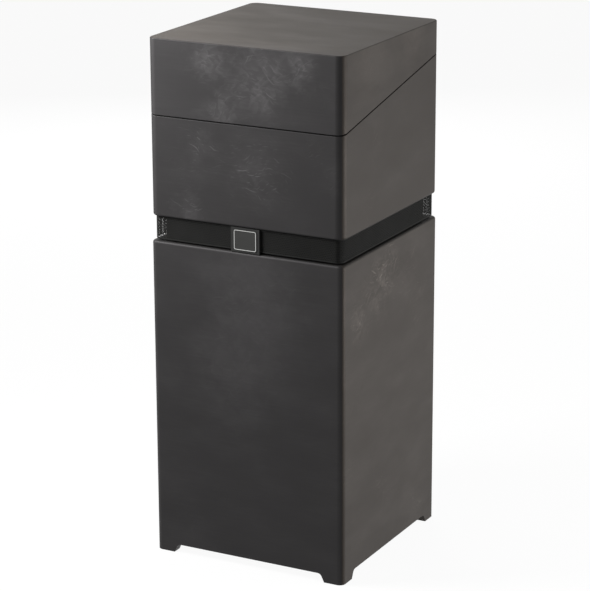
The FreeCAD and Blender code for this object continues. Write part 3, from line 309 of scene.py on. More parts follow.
class Finish(Nodes):
    """A procedural material being made: one Principled shader and the nodes that feed it."""

    def __init__(self, name, colour, roughness, metallic=0.0, coat=0.0, specular=0.5):
        self.material = bpy.data.materials.new(name)
        self.material.use_nodes = True
        super().__init__(self.material.node_tree)
        self.shader = self.tree.nodes["Principled BSDF"]
        self.set("Base Color", (*colour, 1.0))
        self.set("Roughness", roughness)
        self.set("Metallic", metallic)
        self.set("Coat Weight", coat)
        self.set("Coat Roughness", COAT_ROUGHNESS)
        self.set("Specular IOR Level", specular)

    def set(self, name, value):
        self.join(self.shader.inputs[name], value)

    def place(self):
        """The surface's place in the object's own frame, in metres."""
        return self.node("ShaderNodeTexCoord", {}, {}, out="Object")

    def vector(self, operation, *values):
        return self.node("ShaderNodeVectorMath", {"operation": operation}, dict(enumerate(values)))

    def combined(self, x, y, z):
        return self.node("ShaderNodeCombineXYZ", {}, {0: x, 1: y, 2: z})

    def noise(self, where, scale, detail=2.0, roughness=0.5, colour=False):
        sockets = {"Vector": where, "Scale": scale, "Detail": detail, "Roughness": roughness}
        return self.node("ShaderNodeTexNoise", {}, sockets, out=1 if colour else 0)

    def stretched(self, where, scales, detail=2.0, roughness=0.5):
        return self.noise(self.vector("MULTIPLY", where, scales), 1.0, detail, roughness)

    def blend(self, factor, first, second, kind="MIX"):
        """A colour between two, each a tuple or a link."""
        first = (*first, 1.0) if isinstance(first, tuple) else first
        second = (*second, 1.0) if isinstance(second, tuple) else second
        settings = {"data_type": "RGBA", "blend_type": kind}
        return self.node("ShaderNodeMix", settings, {0: factor, 6: first, 7: second}, out=2)

    def cells(self, plane, cell):
        """A colour by chance for each cell of the plane; its sibling Position is the cell's middle."""
        settings, sockets = {"voronoi_dimensions": "2D"}, {"Vector": plane, "Scale": 1 / cell}
        return self.node("ShaderNodeTexVoronoi", settings, sockets, out="Color")

    def flecks(self, plane, cell, slant, half_long, half_wide, bow):
        """Short bowed strokes, one to a cell of the plane, each with its own turn and strength."""
        chance = self.cells(plane, cell)
        offset = self.vector("SUBTRACT", plane, chance.sibling("Position"))
        turn = slant + chance.part("X") * 0.9
        cosine, sine = turn.maths("COSINE", turn), turn.maths("SINE", turn)
        along = offset.part("X") * cosine + offset.part("Y") * sine
        over = offset.part("Y") * cosine - offset.part("X") * sine - along * along * bow
        along, over = along / half_long, over / half_wide
        return (1.0 - along * along - over * over).smooth(0.0, 1.0) * chance.part("Y").smooth(0.3, 1.0)

    def flakes(self, plane, cell, turn, stretch):
        """Crossed flakes, one to a cell of the plane turned and drawn out, each shaded across its own way."""
        settings, sockets = {"rotation_type": "Z_AXIS"}, {"Vector": plane, "Angle": turn}
        turned = self.node("ShaderNodeVectorRotate", settings, sockets)
        drawn = self.vector("MULTIPLY", turned, (1.0, stretch, 1.0))
        chance = self.cells(drawn, cell)
        offset = self.vector("SUBTRACT", drawn, chance.sibling("Position"))
        lean = offset.part("X") * (chance.part("X") - 0.5) + offset.part("Y") * (chance.part("Z") - 0.5)
        return (lean * (1.8 / cell) + chance.part("Y")).smooth(0.45, 1.15)

    def bump(self, height, distance, strength=1.0):
        sockets = {"Strength": strength, "Distance": distance, "Height": height}
        self.set("Normal", self.node("ShaderNodeBump", {}, sockets))


# Finishes

def stained_veneer(name, across, up, seed, figure, tint, upper_tint):
    """Black-stained figured veneer under satin lacquer, with painted light and shade in its colour: a painted
    light tint for each side and the top, a painted highlight across the top, and painted shade on the rounded
    edges and inner rims;
    across and up are the panel's own axes, and upper_tint is for what faces upward."""
    tone, pale, flaked, stroked, plumes = figure
    finish = Finish(name, tint, 0.5, specular=0.2)
    # The side's painted light tint also colours its reflections
    finish.set("Specular Tint", (*tint, 1.0))
    place = finish.place()
    normal = place.sibling("Normal")
    level = normal.part("Z").smooth(0.55, 0.9)
    spread = finish.vector("ABSOLUTE", normal)
    widest = normal.maths("MAXIMUM", spread.part("Y"), spread.part("Z"))
    widest = normal.maths("MAXIMUM", spread.part("X"), widest)
    # Rounded edges, whose colour is darkened below with painted shade
    edge = 1.0 - widest.smooth(0.74, 0.97)
    panel = finish.combined(place.part(across), place.part(up), 0.0)
    plane = finish.vector("ADD", panel, (seed, seed * 0.37, 0.0))
    sockets = {0: level, 4: plane, 5: place}
    plane = finish.node("ShaderNodeMix", {"data_type": "VECTOR"}, sockets, out=1)
    sway = finish.vector("SUBTRACT", finish.noise(plane, 30.0, 2.0, colour=True), (0.5, 0.5, 0.5))
    bent = finish.vector("ADD", plane, finish.vector("MULTIPLY", sway, (0.014, 0.014, 0.0)))
    patches = finish.noise(bent, 8.0, 2.0).smooth(0.5, 0.8) * 0.4
    for x, y, radius in plumes:
        sockets = {0: panel, 1: (x, y, 0.0)}
        away = finish.node("ShaderNodeVectorMath", {"operation": "DISTANCE"}, sockets, out="Value")
        patches = patches + (radius - away + sway.part("X") * 0.06).smooth(-0.015, radius * 1.2)
    patches = patches * (1.0 - level)
    slant = finish.noise(plane, 11.0, 1.0) * 5.0 - 2.8
    plume = 0.0
    for cell, half_long, half_wide, bow, strength in STROKES:
        plume = plume + finish.flecks(bent, cell, slant, half_long, half_wide, bow) * (strength * stroked)
    for cell, turn, stretch, strength in FLAKES:
        plume = plume + finish.flakes(bent, cell, turn, stretch) * (strength * flaked)
    plume = plume * patches
    clouds = finish.stretched(bent, (8.0, 19.0, 1.0), 3.0)
    grain = finish.stretched(plane, (14.0, 380.0, 1.0), 4.0, 0.6)
    # Painted highlight on what faces upward: paler towards the front-left, darker towards the right and rear
    painted_top_falloff = place.part("X") * 1.6 + place.part("Y") * 1.1 + 0.05
    shade = clouds * 0.5 + grain * 0.2 + patches * pale - level * painted_top_falloff + tone
    ground = finish.blend(shade.smooth(0.25, 0.7), STAIN_DARK, STAIN_PALE)
    ground = finish.blend(plume, ground, PLUME_PALE)
    # Painted light and shade: the side and top tints, the darkened inner rims and the darkened rounded edges,
    # multiplied over the ground colour
    painted_light_and_shade = finish.blend(edge * EDGE_PAINTED_SHADE, finish.blend(level, tint, upper_tint), (0.0, 0.0, 0.0))
    finish.set("Base Color", finish.blend(1.0, ground, painted_light_and_shade, "MULTIPLY"))
    finish.set("Roughness", 0.56 + level * 0.12 - clouds * 0.16 - plume * 0.05)
    finish.bump(grain + plume * 0.5, 0.00005, 0.5)
    return finish.material


def fibreboard(name):
    """Raw fibreboard: brown, with short fibres pressed every way."""
    finish = Finish(name, (0.36, 0.25, 0.16), 0.85)
    place = finish.place()
    fibres = finish.noise(place, 900.0, 3.0, 0.7)
    clouds = finish.noise(place, 14.0, 3.0)
    shade = fibres * 0.6 + clouds * 0.4
    finish.set("Base Color", finish.blend(shade, (0.25, 0.165, 0.1), (0.45, 0.32, 0.21)))
    finish.bump(fibres, 0.0001, 0.6)
    return finish.material


def speckled(name, dark, pale, roughness, scale=1400.0, relief=0.00006, specular=0.5):
    """A moulded, painted or sintered surface: a fine grain over soft clouds of tone."""
    finish = Finish(name, pale, roughness, specular=specular)
    place = finish.place()
    grain = finish.noise(place, scale, 2.0, 0.6)
    clouds = finish.noise(place, 25.0, 3.0)
    finish.set("Base Color", finish.blend(grain * 0.5 + clouds * 0.5, dark, pale))
    finish.set("Roughness", roughness - 0.06 + grain * 0.12)
    finish.bump(grain, relief, 0.5)
    return finish.material


def brushed(name, dark, pale, roughness, strokes):
    """Metal drawn or brushed along one axis: long fine scratches, given as scales along X, Y and Z."""
    finish = Finish(name, pale, roughness, metallic=1.0)
    place = finish.place()
    scratches = finish.stretched(place, strokes, 3.0, 0.6)
    haze = finish.noise(place, 30.0, 2.0)
    finish.set("Base Color", finish.blend(scratches * 0.7 + haze * 0.3, dark, pale))
    finish.set("Roughness", roughness - 0.1 + scratches * 0.2)
    finish.bump(scratches, 0.00002, 0.4)
    return finish.material


def woven(name, dark, pale, threads, roughness=0.9):
    """Cloth or felt: crossed threads with loose fibres."""
    finish = Finish(name, pale, roughness)
    place = finish.place()
    sockets = {"Vector": place, "Scale": threads}
    warp = finish.node("ShaderNodeTexWave", {"bands_direction": "X"}, sockets, out=1)
    weft = finish.node("ShaderNodeTexWave", {"bands_direction": "Y"}, sockets, out=1)
    fuzz = finish.noise(place, 1200.0, 2.0)
    weave = warp * 0.35 + weft * 0.35 + fuzz * 0.3
    finish.set("Base Color", finish.blend(weave, dark, pale))
    finish.bump(weave, 0.0002, 0.6)
    return finish.material


def open_foam(name):
    """Black open-cell foam, with painted shade in its pores."""
    finish = Finish(name, (0.01, 0.01, 0.01), 0.95, specular=0.1)
    place = finish.place()
    cells = finish.node("ShaderNodeTexVoronoi", {}, {"Vector": place, "Scale": 700.0})
    # The middles of the cells, the pore hollows, are darker: painted shade
    depth = cells.smooth(0.1, 0.7)
    finish.set("Base Color", finish.blend(depth, (0.003, 0.003, 0.003), (0.014, 0.014, 0.014)))
    finish.bump(cells, 0.0005, 0.8)
    return finish.material


def wound_tape(name):
    """Yellow polyester tape wound round the transformer's core."""
    finish = Finish(name, (0.5, 0.36, 0.05), 0.3, coat=0.3)
    place = finish.place()
    settings = {"wave_type": "RINGS", "rings_direction": "Z"}
    sockets = {"Vector": place, "Scale": 60.0, "Distortion": 1.5}
    turns = finish.node("ShaderNodeTexWave", settings, sockets, out=1)
    finish.set("Base Color", finish.blend(turns, (0.36, 0.24, 0.03), (0.58, 0.43, 0.07)))
    finish.bump(turns, 0.0002, 0.5)
    return finish.material


def printed_ink(name):
    """Screen-printed pale grey ink."""
    finish = Finish(name, (0.6, 0.6, 0.58), 0.6)
    flecks = finish.noise(finish.place(), 2500.0, 2.0)
    finish.set("Base Color", finish.blend(flecks, (0.5, 0.5, 0.48), (0.66, 0.66, 0.64)))
    return finish.material


# Finishes of the record's slots; the veneer is made panel by panel

BLACK = (0.012, 0.012, 0.012)
SOOT = (0.024, 0.024, 0.025)
COAT_DARK = (0.019, 0.019, 0.0184)
COAT_PALE = (0.036, 0.036, 0.0349)
CARRIER_DARK = (0.016, 0.016, 0.0155)
CARRIER_PALE = (0.026, 0.026, 0.025)
PANEL_DARK = (0.03, 0.03, 0.032)
PANEL_PALE = (0.065, 0.065, 0.07)
SLOT_FINISHES = {
    "raw_board": fibreboard("raw_fibreboard"),
    "grille_steel": speckled("black_powder_coat", COAT_DARK, COAT_PALE, 0.85, specular=0.01),
    "carrier_plastic": speckled("carrier_plastic", CARRIER_DARK, CARRIER_PALE, 0.6, specular=0.2),
    "badge_metal": brushed("badge_face", (0.035, 0.035, 0.034), (0.06, 0.06, 0.058), 0.5, (60, 60, 2500)),
    "foam": open_foam("black_foam"),
    "basket_steel": speckled("basket_paint", BLACK, SOOT, 0.45),
    "surround_rubber": speckled("surround_rubber", BLACK, SOOT, 0.7, 900.0),
    "cone_paper": speckled("pulp_cone", (0.025, 0.024, 0.023), (0.05, 0.048, 0.045), 0.9, 700.0, 0.0002),
    "coil_copper": brushed("coil_copper", (0.4, 0.17, 0.08), (0.65, 0.32, 0.17), 0.35, (30, 30, 3000)),
    "spider_cloth": woven("spider_cloth", (0.3, 0.18, 0.05), (0.52, 0.34, 0.12), 350.0),
    "motor_steel": brushed("zinc_steel", (0.36, 0.36, 0.36), (0.55, 0.55, 0.54), 0.4, (800, 800, 60)),
    "magnet_ferrite": speckled("ferrite", (0.03, 0.03, 0.032), (0.06, 0.06, 0.065), 0.6, 600.0),
    "driver_plastic": speckled("moulded_black", BLACK, SOOT, 0.5),
    "dome_cloth": woven("coated_silk", (0.03, 0.03, 0.032), (0.07, 0.07, 0.074), 900.0, 0.6),
    "post_metal": brushed("drawn_tube", (0.3, 0.3, 0.3), (0.45, 0.45, 0.45), 0.4, (900, 900, 40)),
    "panel_metal": brushed("anodised_panel", PANEL_DARK, PANEL_PALE, 0.5, (25, 2200, 2200)),
    "knob_plastic": speckled("knob_plastic", BLACK, (0.03, 0.03, 0.03), 0.42),
    "shaft_metal": brushed("turned_steel", (0.4, 0.4, 0.4), (0.6, 0.6, 0.6), 0.35, (700, 700, 90)),
    "socket_metal": brushed("plated_socket", (0.5, 0.38, 0.17), (0.78, 0.6, 0.3), 0.3, (900, 90, 900)),
    "board_laminate": speckled("solder_mask", (0.012, 0.09, 0.03), (0.02, 0.15, 0.055), 0.35, 500.0),
    "standoff_brass": brushed("turned_brass", (0.5, 0.36, 0.14), (0.7, 0.52, 0.24), 0.35, (700, 700, 90)),
    "transformer_tape": wound_tape("wound_tape"),
    "inlet_plastic": speckled("inlet_plastic", BLACK, SOOT, 0.5),
    "rocker_plastic": speckled("rocker_plastic", (0.008, 0.008, 0.008), (0.016, 0.016, 0.016), 0.25, 1800.0),
    "hinge_brass": brushed("hinge_brass", (0.2, 0.14, 0.05), (0.34, 0.25, 0.1), 0.42, (60, 1500, 1500)),
    "bumper_felt": woven("black_felt", (0.012, 0.012, 0.012), (0.03, 0.03, 0.03), 500.0),
}
INK = printed_ink("pale_ink")
BORDER_METAL = brushed("border_metal", (0.5, 0.5, 0.49), (0.74, 0.74, 0.72), 0.35, (300, 300, 300))
SCREW_STEEL = brushed("black_zinc", (0.05, 0.05, 0.05), (0.11, 0.11, 0.11), 0.35, (400, 400, 400))
RING_RED = speckled("socket_red", (0.3, 0.01, 0.01), (0.45, 0.02, 0.015), 0.4)
RING_WHITE = speckled("socket_white", (0.55, 0.55, 0.53), (0.7, 0.7, 0.68), 0.4)


def dress_nodes():
    """Give each CAD node its finish, with a figure of its own on each veneered panel."""
    axes = {"front": "XZ", "rear": "XZ", "right": "YZ", "left": "YZ", "top": "XY"}
    for order, part in enumerate(frame["record"]["subparts"]):
        node, slot = part["node"], part["material_slot"]
        if slot == "stained_wood":
            tier, face = node.split("_")[:2]
            across, up = axes[face]
            seed = order * FIGURE_STEP
            figure = FIGURES.get(f"{tier}_{face}", QUIET_FIGURE)
            # Each side's painted light tint, and for what faces upward the lid's painted light tint or the painted
            # shade of the inner rims
            tint, upper_tint = FACE_PAINTED_LIGHT_TINTS[face], TOP_PAINTED_LIGHT_TINT if tier == "lid" else RIM_PAINTED_SHADE
            material = stained_veneer(f"veneer_{node}", across, up, seed, figure, tint, upper_tint)
        else:
            material = SLOT_FINISHES[slot]
        for holder in frame["nodes"][node].material_slots:
            holder.material = material


def piece(name, points, faces, body, material):
    """A mesh piece that rides on a CAD body."""
    mesh = bpy.data.meshes.new(name)
    mesh.from_pydata([tuple(point) for point in points], [], faces)
    mesh.validate()
    made = bpy.data.objects.new(name, mesh)
    bpy.context.scene.collection.objects.link(made)
    mesh.materials.append(material)
    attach(made, body)
    return made


class Shape:
    """Points and faces gathered for one piece."""

    def __init__(self):
        self.points = []
        self.faces = []

    def add(self, points, faces):
        first = len(self.points)
        self.points += points
        self.faces += [[first + index for index in face] for face in faces]

    def slab(self, low, high):
        """A box between two corners."""
        ends = (low, high)
        corners = [Vector((x.x, y.y, z.z)) for z in ends for y in ends for x in ends]
        faces = [(0, 2, 3, 1), (4, 5, 7, 6), (0, 1, 5, 4), (1, 3, 7, 5), (3, 2, 6, 7), (2, 0, 4, 6)]
        self.add(corners, faces)

    def turned(self, loops, around, capped=True):
        """A piece turned about Z, closed at its last loop if capped: loops of radius and height, a radius
        being a number or a function of the angle."""
        angles = [2 * math.pi * step / around for step in range(around)]
        points = []
        for radius, height in loops:
            for angle in angles:
                reach = radius(angle) if callable(radius) else radius
                points.append(Vector((reach * math.cos(angle), reach * math.sin(angle), height)))
        faces = []
        for first in range(0, (len(loops) - 1) * around, around):
            for step in range(around):
                after = (step + 1) % around
                faces.append([first + step, first + after, first + around + after, first + around + step])
        if capped:
            faces.append(list(range(len(points) - around, len(points))))
        self.add(points, faces)
        return self

    def moved(self, matrix):
        self.points = [matrix @ Vector(point) for point in self.points]
        return self


# Grille

def grille_cell(shape, along, up, half_wide, half_tall, onto):
    """One cell of the sheet with its hole, on both faces, and the hole's wall."""
    corners = [(half_wide * x, half_tall * z) for x, z in ((-1, -1), (1, -1), (1, 1), (-1, 1))]
    turns = [2 * math.pi * (step / HOLE_SIDES) - 0.75 * math.pi for step in range(HOLE_SIDES)]
    rim = [(HOLE_RADIUS * math.cos(turn), HOLE_RADIUS * math.sin(turn)) for turn in turns]
    layer = corners + rim
    points = [onto(along + x, up + z, depth) for depth in (0.0, GRILLE_SHEET) for x, z in layer]
    faces = []
    count = len(layer)
    share = HOLE_SIDES // 4
    for side in range(4):
        arc = [4 + (side * share + step) % HOLE_SIDES for step in range(share + 1)]
        outer = [side, (side + 1) % 4] + arc[::-1]
        faces.append(outer)
        faces.append([count + index for index in outer[::-1]])
    for step in range(HOLE_SIDES):
        here, there = 4 + step, 4 + (step + 1) % HOLE_SIDES
        faces.append([here, there, count + there, count + here])
    shape.add(points, faces)


def plain_cell(shape, left, right, low, high, onto):
    """A stretch of sheet with no holes, cut small enough to follow the bend."""
    steps = max(1, round((right - left) / HOLE_PITCH))
    for step in range(steps):
        first = left + (right - left) * step / steps
        last = left + (right - left) * (step + 1) / steps
        spots = [(x, z) for z in (low, high) for x in (first, last)]
        points = [onto(x, z, depth) for depth in (0.0, GRILLE_SHEET) for x, z in spots]
        faces = [(0, 1, 3, 2), (4, 6, 7, 5), (0, 4, 5, 1), (2, 3, 7, 6), (0, 2, 6, 4), (1, 5, 7, 3)]
        shape.add(points, faces)


def grille(side):
    """One side's strip of finely perforated sheet, bent round half of each corner."""
    face = -GRILLE_LOW.y
    flat = face - GRILLE_BEND
    reach = flat + GRILLE_BEND * math.pi / 4
    turn = Matrix.Rotation(math.radians(SIDES[side]), 4, "Z")

    def onto(along, up, depth):
        bend = max(0.0, abs(along) - flat) / GRILLE_BEND
        radius = GRILLE_BEND - depth
        way = math.copysign(1.0, along)
        x = way * (min(abs(along), flat) + radius * math.sin(bend))
        return turn @ Vector((x, -flat - radius * math.cos(bend), up))

    shape = Shape()
    low, high = GRILLE_LOW.z + GRILLE_EDGE, GRILLE_HIGH.z - GRILLE_EDGE
    columns = round(2 * reach / HOLE_PITCH)
    pitch = 2 * reach / columns
    rise = (high - low) / HOLE_ROWS
    plain_cell(shape, -reach, reach, GRILLE_LOW.z, low, onto)
    plain_cell(shape, -reach, reach, high, GRILLE_HIGH.z, onto)
    for row in range(HOLE_ROWS):
        level = low + rise * (row + 0.5)
        start, count = (-reach, columns) if row % 2 == 0 else (-reach + pitch / 2, columns - 1)
        for column in range(count):
            grille_cell(shape, start + pitch * (column + 0.5), level, pitch / 2, rise / 2, onto)
        if row % 2:
            plain_cell(shape, -reach, -reach + pitch / 2, level - rise / 2, level + rise / 2, onto)
            plain_cell(shape, reach - pitch / 2, reach, level - rise / 2, level + rise / 2, onto)
    material = SLOT_FINISHES["grille_steel"]
    made = piece(f"perforated_{side}_strip", shape.points, shape.faces, "cabinet", material)
    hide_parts(f"grille_{side}")


# Badge

def rounded_loop(half_wide, half_tall, radius, steps=6):
    """Points round a rectangle with rounded corners, as pairs."""
    loop = []
    for quarter, (x, z) in enumerate(((1, 1), (-1, 1), (-1, -1), (1, -1))):
        for step in range(steps + 1):
            turn = math.pi / 2 * (quarter + step / steps)
            loop.append((x * (half_wide - radius) + radius * math.cos(turn),
                         z * (half_tall - radius) + radius * math.sin(turn)))
    return loop


def badge_border():
    """The bright rounded line round the blank badge."""
    centre = (BADGE_LOW + BADGE_HIGH) / 2
    half_wide = (BADGE_HIGH.x - BADGE_LOW.x) / 2 - BORDER_INSET
    half_tall = (BADGE_HIGH.z - BADGE_LOW.z) / 2 - BORDER_INSET
    corner = BADGE_CORNER - BORDER_INSET
    outer = rounded_loop(half_wide, half_tall, corner)
    inner = rounded_loop(half_wide - BORDER_WIDTH, half_tall - BORDER_WIDTH, corner - BORDER_WIDTH)
    front, back = BADGE_LOW.y - BORDER_PROUD, BADGE_LOW.y + BORDER_PROUD
    loops = [(outer, back), (outer, front), (inner, front), (inner, back)]
    points = [(centre.x + x, y, centre.z + z) for loop, y in loops for x, z in loop]
    count = len(outer)
    faces = []
    for ring in range(4):
        for step in range(count):
            after = (step + 1) % count
            first, last = ring * count, (ring + 1) % 4 * count
            faces.append([first + step, last + step, last + after, first + after])
    piece("badge_border", points, faces, "cabinet", BORDER_METAL)


# Console

def panel_matrix(centre):
    """From a place on the sloped panel, with Z along its normal, to the object's frame."""
    turn = Matrix((PANEL_ACROSS, PANEL_UP, PANEL_NORMAL)).transposed().to_4x4()
    return Matrix.Translation(centre) @ turn


def fluted(radius):
    """A knob's radius at each angle, with the flutes cut into it."""
    return lambda angle: radius - FLUTE_DEPTH * (0.5 - 0.5 * math.cos(KNOB_FLUTES * angle)) ** 2


def knob(name):
    """A skirted knob with a fluted grip, and its pale pointer line."""
    body = f"{name}_control"
    centre = panel_matrix(Vector(JOINTS[KNOBS[name]]["pos_m"]))
    loops = [(fluted(radius) if cut else radius, KNOB_LIFT + height) for radius, height, cut in KNOB_OUTLINE]
    shape = Shape().turned(loops, KNOB_FLUTES * FLUTE_STEPS).moved(centre)
    made = piece(f"{name}_fluted_knob", shape.points, shape.faces, body, SLOT_FINISHES["knob_plastic"])
    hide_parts(f"{name}_knob")
    top = KNOB_LIFT + KNOB_HEIGHT
    line = Shape()
    line.slab(Vector((-POINTER_WIDTH / 2, POINTER_START, top - POINTER_SUNK)),
              Vector((POINTER_WIDTH / 2, POINTER_END, top + POINTER_PROUD)))
    line.moved(centre)
    piece(f"{name}_pointer", line.points, line.faces, body, INK)


def numeral(text, x, y):
    """A printed number, as mesh points and faces on the panel's plane."""
    letters = bpy.data.curves.new("numeral", "FONT")
    letters.body = text
    letters.size = NUMERAL_SIZE
    letters.align_x = "CENTER"
    letters.align_y = "CENTER"
    holder = bpy.data.objects.new("numeral", letters)
    mesh = bpy.data.meshes.new_from_object(holder)
    points = [Vector((x + vertex.co.x, y + vertex.co.y, PRINT_HEIGHT)) for vertex in mesh.vertices]
    faces = [list(polygon.vertices) for polygon in mesh.polygons]
    bpy.data.objects.remove(holder)
    bpy.data.curves.remove(letters)
    bpy.data.meshes.remove(mesh)
    return points, faces


def dial(name):
    """Printed scale round a knob: ticks, and numbers at the even steps."""
    shape = Shape()
    for step in range(DIAL_STEPS + 1):
        turn = math.radians(90 + DIAL_SWEEP - 2 * DIAL_SWEEP * step / DIAL_STEPS)
        way = Vector((math.cos(turn), math.sin(turn), 0))
        across = Vector((-way.y, way.x, 0)) * (TICK_WIDTH / 2)
        length = TICK_SHORT if step % 2 else TICK_LONG
        base = Vector((0, 0, PRINT_HEIGHT))
        inner, outer = base + way * TICK_INNER, base + way * (TICK_INNER + length)
        shape.add([inner - across, inner + across, outer + across, outer - across], [(0, 3, 2, 1)])
        if step % 2 == 0:
            shape.add(*numeral(str(step), way.x * NUMERAL_RADIUS, way.y * NUMERAL_RADIUS))
    shape.moved(panel_matrix(Vector(JOINTS[KNOBS[name]]["pos_m"])))
    piece(f"{name}_dial", shape.points, shape.faces, "cabinet", INK)


# Screws and marks

def facing(centre, normal, up):
    """From a place on a face, with Z along its normal and Y up it, to the object's frame."""
    across = up.cross(normal)
    return Matrix.Translation(centre) @ Matrix((across, up, normal)).transposed().to_4x4()


def cross_reach(angle):
    """How far a screw's cross recess reaches from the middle, at an angle."""
    along, over = abs(math.cos(angle)) + 1e-9, abs(math.sin(angle)) + 1e-9
    return max(min(CROSS_LONG / along, CROSS_WIDE / over), min(CROSS_LONG / over, CROSS_WIDE / along))


def screws(name, places, body, flat=False):
    """Cross-recessed screws, one at each place: pan heads, or flat ones sunk level with the face."""
    if flat:
        loops = [(SCREW_FLAT, -FLAT_DEPTH), (SCREW_FLAT, 0), (cross_reach, 0), (cross_reach, -FLAT_DEPTH)]
    else:
        loops = [(SCREW_HEAD * share, SCREW_RISE * rise) for share, rise in PAN_OUTLINE]
        loops += [(cross_reach, SCREW_RISE), (cross_reach, SCREW_RISE * CROSS_FLOOR)]
    shape = Shape()
    for place in places:
        head = Shape().turned(loops, SCREW_STEPS).moved(place)
        shape.add(head.points, head.faces)
    piece(name, shape.points, shape.faces, body, SCREW_STEEL)


def panel_screws():
    """Screws at the corners of the control panel."""
    low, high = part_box("control_panel")
    middle = Vector(JOINTS["level_b_turn"]["pos_m"])
    places = []
    for x in (low.x + SCREW_INSET, high.x - SCREW_INSET):
        for y in (low.y + SCREW_INSET, high.y - SCREW_INSET):
            spot = middle + PANEL_UP * ((y - middle.y) / PANEL_UP.y)
            places.append(panel_matrix(Vector((x, spot.y, spot.z))))
    screws("panel_screws", places, "cabinet")


def inlet_screws():
    """One screw in each ear of the mains inlet's flange."""
    low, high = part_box("mains_inlet")
    level = (low.z + high.z) / 2
    ears = (low.x + EAR_INSET, high.x - EAR_INSET)
    places = [facing(Vector((x, high.y, level)), REARWARD, UPWARD) for x in ears]
    screws("inlet_screws", places, "cabinet")


def port_screws():
    """Four screws through the reflex port's flange."""
    low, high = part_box("port_tube")
    middle = (low + high) / 2
    reach = (high.x - low.x) / 2 - PORT_SCREW_INSET
    places = []
    for quarter in range(4):
        turn = math.pi / 4 + math.pi / 2 * quarter
        spot = Vector((middle.x + reach * math.cos(turn), middle.y + reach * math.sin(turn), low.z))
        places.append(facing(spot, -UPWARD, REARWARD))
    screws("port_screws", places, "cabinet")


def hinge_screws():
    """Flat screws in the hinge leaves, seen when the lid is up."""
    axis = Vector(JOINTS["lid_hinge"]["pos_m"]) - PANEL_UP * LEAF_MIDDLE
    for part, body, normal in (("box", "cabinet", PANEL_NORMAL), ("lid", "lid", -PANEL_NORMAL)):
        low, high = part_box(f"hinge_{part}_leaves")
        places = []
        for middle in (low.x + HINGE_LENGTH / 2, high.x - HINGE_LENGTH / 2):
            for step in (-1, 1):
                spot = Vector((middle + LEAF_SCREW_STEP * step, axis.y, axis.z))
                places.append(facing(spot, normal, PANEL_UP))
        screws(f"{part}_leaf_screws", places, body, flat=True)


def rocker_marks():
    """The on line and off ring on the two halves of the power rocker."""
    pivot = Vector(JOINTS["rocker_tip"]["pos_m"])
    on = Shape()
    on.slab(Vector((-ON_WIDTH / 2, MARK_FACE - MARK_SUNK, MARK_REACH - ON_LENGTH / 2)),
            Vector((ON_WIDTH / 2, MARK_FACE + ON_PROUD, MARK_REACH + ON_LENGTH / 2)))
    loops = [(OFF_INNER, -MARK_SUNK), (OFF_INNER, OFF_PROUD), (OFF_OUTER, OFF_PROUD), (OFF_OUTER, -MARK_SUNK)]
    off = Shape().turned(loops, OFF_STEPS, capped=False)
    off.moved(facing(Vector((0, MARK_FACE, -MARK_REACH)), REARWARD, UPWARD))
    on.add(off.points, off.faces)
    on.moved(Matrix.Translation(pivot) @ Matrix.Rotation(ROCKER_TILT, 4, "X"))
    piece("rocker_marks", on.points, on.faces, "rocker", INK)


def socket_rings():
    """Coloured insulating rings round the two line sockets: white above, red below."""
    low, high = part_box("input_sockets")
    x = (low.x + high.x) / 2
    lip = (high.x - low.x) / 2
    face = REAR_FACE - RECESS_DEPTH + SOCKET_LIP
    loops = [(RING_INNER, 0), (RING_OUTER, 0), (RING_OUTER, RING_SIDE), (RING_OUTER - RING_EASE, RING_RISE),
             (RING_INNER, RING_RISE), (RING_INNER, 0)]
    for name, level, finish in (("upper", high.z - lip, RING_WHITE), ("lower", low.z + lip, RING_RED)):
        shape = Shape().turned(loops, RING_STEPS, capped=False)
        shape.moved(facing(Vector((x, face, level)), REARWARD, UPWARD))
        piece(f"{name}_socket_ring", shape.points, shape.faces, "cabinet", finish)


# Stage

def sky():
    """A sky that is white where it is seen, and gives a dim even light."""
    world = bpy.data.worlds.new("studio")
    bpy.context.scene.world = world
    world.use_nodes = True
    nodes = Nodes(world.node_tree)
    glow = world.node_tree.nodes["Background"]
    nodes.join(glow.inputs["Color"], (1, 1, 1, 1))
    nodes.join(glow.inputs["Strength"], AMBIENT + nodes.seen_rays() * (1.0 - AMBIENT))


def floor_paper():
    """White paper: it keeps the object's shadow, is white where it is seen, and is clear from below."""
    finish = Finish("floor_paper", DULL_PAPER, 0.9, specular=0.1)
    seen = finish.seen_rays()
    fibres = finish.noise(finish.place(), 40.0, 2.0)
    finish.set("Base Color", finish.blend(seen, DULL_PAPER, finish.blend(fibres, PAPER_DARK, PAPER_PALE)))
    white = finish.node("ShaderNodeEmission", {}, {"Color": (1, 1, 1, 1), "Strength": 1.0})
    paper = Signal(finish, finish.shader.outputs[0])
    upper = finish.node("ShaderNodeMixShader", {}, {0: seen * FLOOR_GLOW, 1: paper, 2: white})
    below = finish.node("ShaderNodeNewGeometry", {}, {}, out="Backfacing")
    under = finish.node("ShaderNodeBsdfTransparent", {}, {})
    surface = finish.node("ShaderNodeMixShader", {}, {0: below, 1: upper, 2: under})
    finish.join(finish.tree.nodes["Material Output"].inputs["Surface"], surface)
    return finish.material


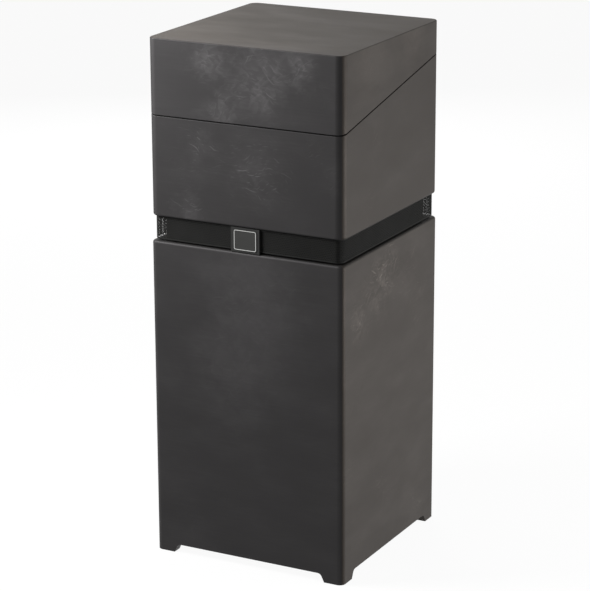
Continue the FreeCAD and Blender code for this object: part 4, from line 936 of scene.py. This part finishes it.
def floor():
    """A wide sheet of the floor paper."""
    corners = [(FLOOR_REACH * x, FLOOR_REACH * y, 0) for x, y in ((-1, -1), (1, -1), (1, 1), (-1, 1))]
    mesh = bpy.data.meshes.new("floor")
    mesh.from_pydata(corners, [], [(0, 1, 2, 3)])
    mesh.materials.append(floor_paper())
    sheet = bpy.data.objects.new("floor", mesh)
    bpy.context.scene.collection.objects.link(sheet)


def lamps():
    """Soft square lamps that the camera doesn't see; those unmirrored aren't seen in reflections either."""
    for name, (place, aim, wide, tall, power) in LAMPS.items():
        lamp = bpy.data.lights.new(name, "AREA")
        lamp.shape = "RECTANGLE"
        lamp.size = wide
        lamp.size_y = tall
        lamp.energy = power
        holder = bpy.data.objects.new(name, lamp)
        holder.visible_camera = False
        holder.visible_glossy = name not in UNMIRRORED
        holder.location = place
        holder.rotation_euler = (Vector(aim) - Vector(place)).to_track_quat("-Z", "Y").to_euler()
        bpy.context.scene.collection.objects.link(holder)


def camera():
    """The photograph's camera, with a plain lens."""
    yaw, pitch, roll = (math.radians(turn) for turn in (CAMERA_YAW, CAMERA_PITCH, CAMERA_ROLL))
    ahead = Vector((-math.sin(yaw) * math.cos(pitch), math.cos(yaw) * math.cos(pitch), -math.sin(pitch)))
    lens = bpy.data.cameras.new("photo_camera")
    lens.sensor_width = SENSOR
    lens.lens = FOCAL_PIXELS * SENSOR / PHOTO_HEIGHT
    lens.clip_end = CAMERA_FAR
    holder = bpy.data.objects.new("photo_camera", lens)
    turn = ahead.to_track_quat("-Z", "Y").to_matrix().to_4x4() @ Matrix.Rotation(roll, 4, "Z")
    holder.matrix_world = Matrix.Translation(CAMERA_PLACE) @ turn
    bpy.context.scene.collection.objects.link(holder)
    bpy.context.scene.camera = holder


dress_nodes()
for side in SIDES:
    grille(side)
badge_border()
for name in KNOBS:
    knob(name)
    dial(name)
panel_screws()
inlet_screws()
port_screws()
hinge_screws()
rocker_marks()
socket_rings()
bpy.context.scene.view_settings.view_transform = "Standard"
sky()
floor()
lamps()
camera()
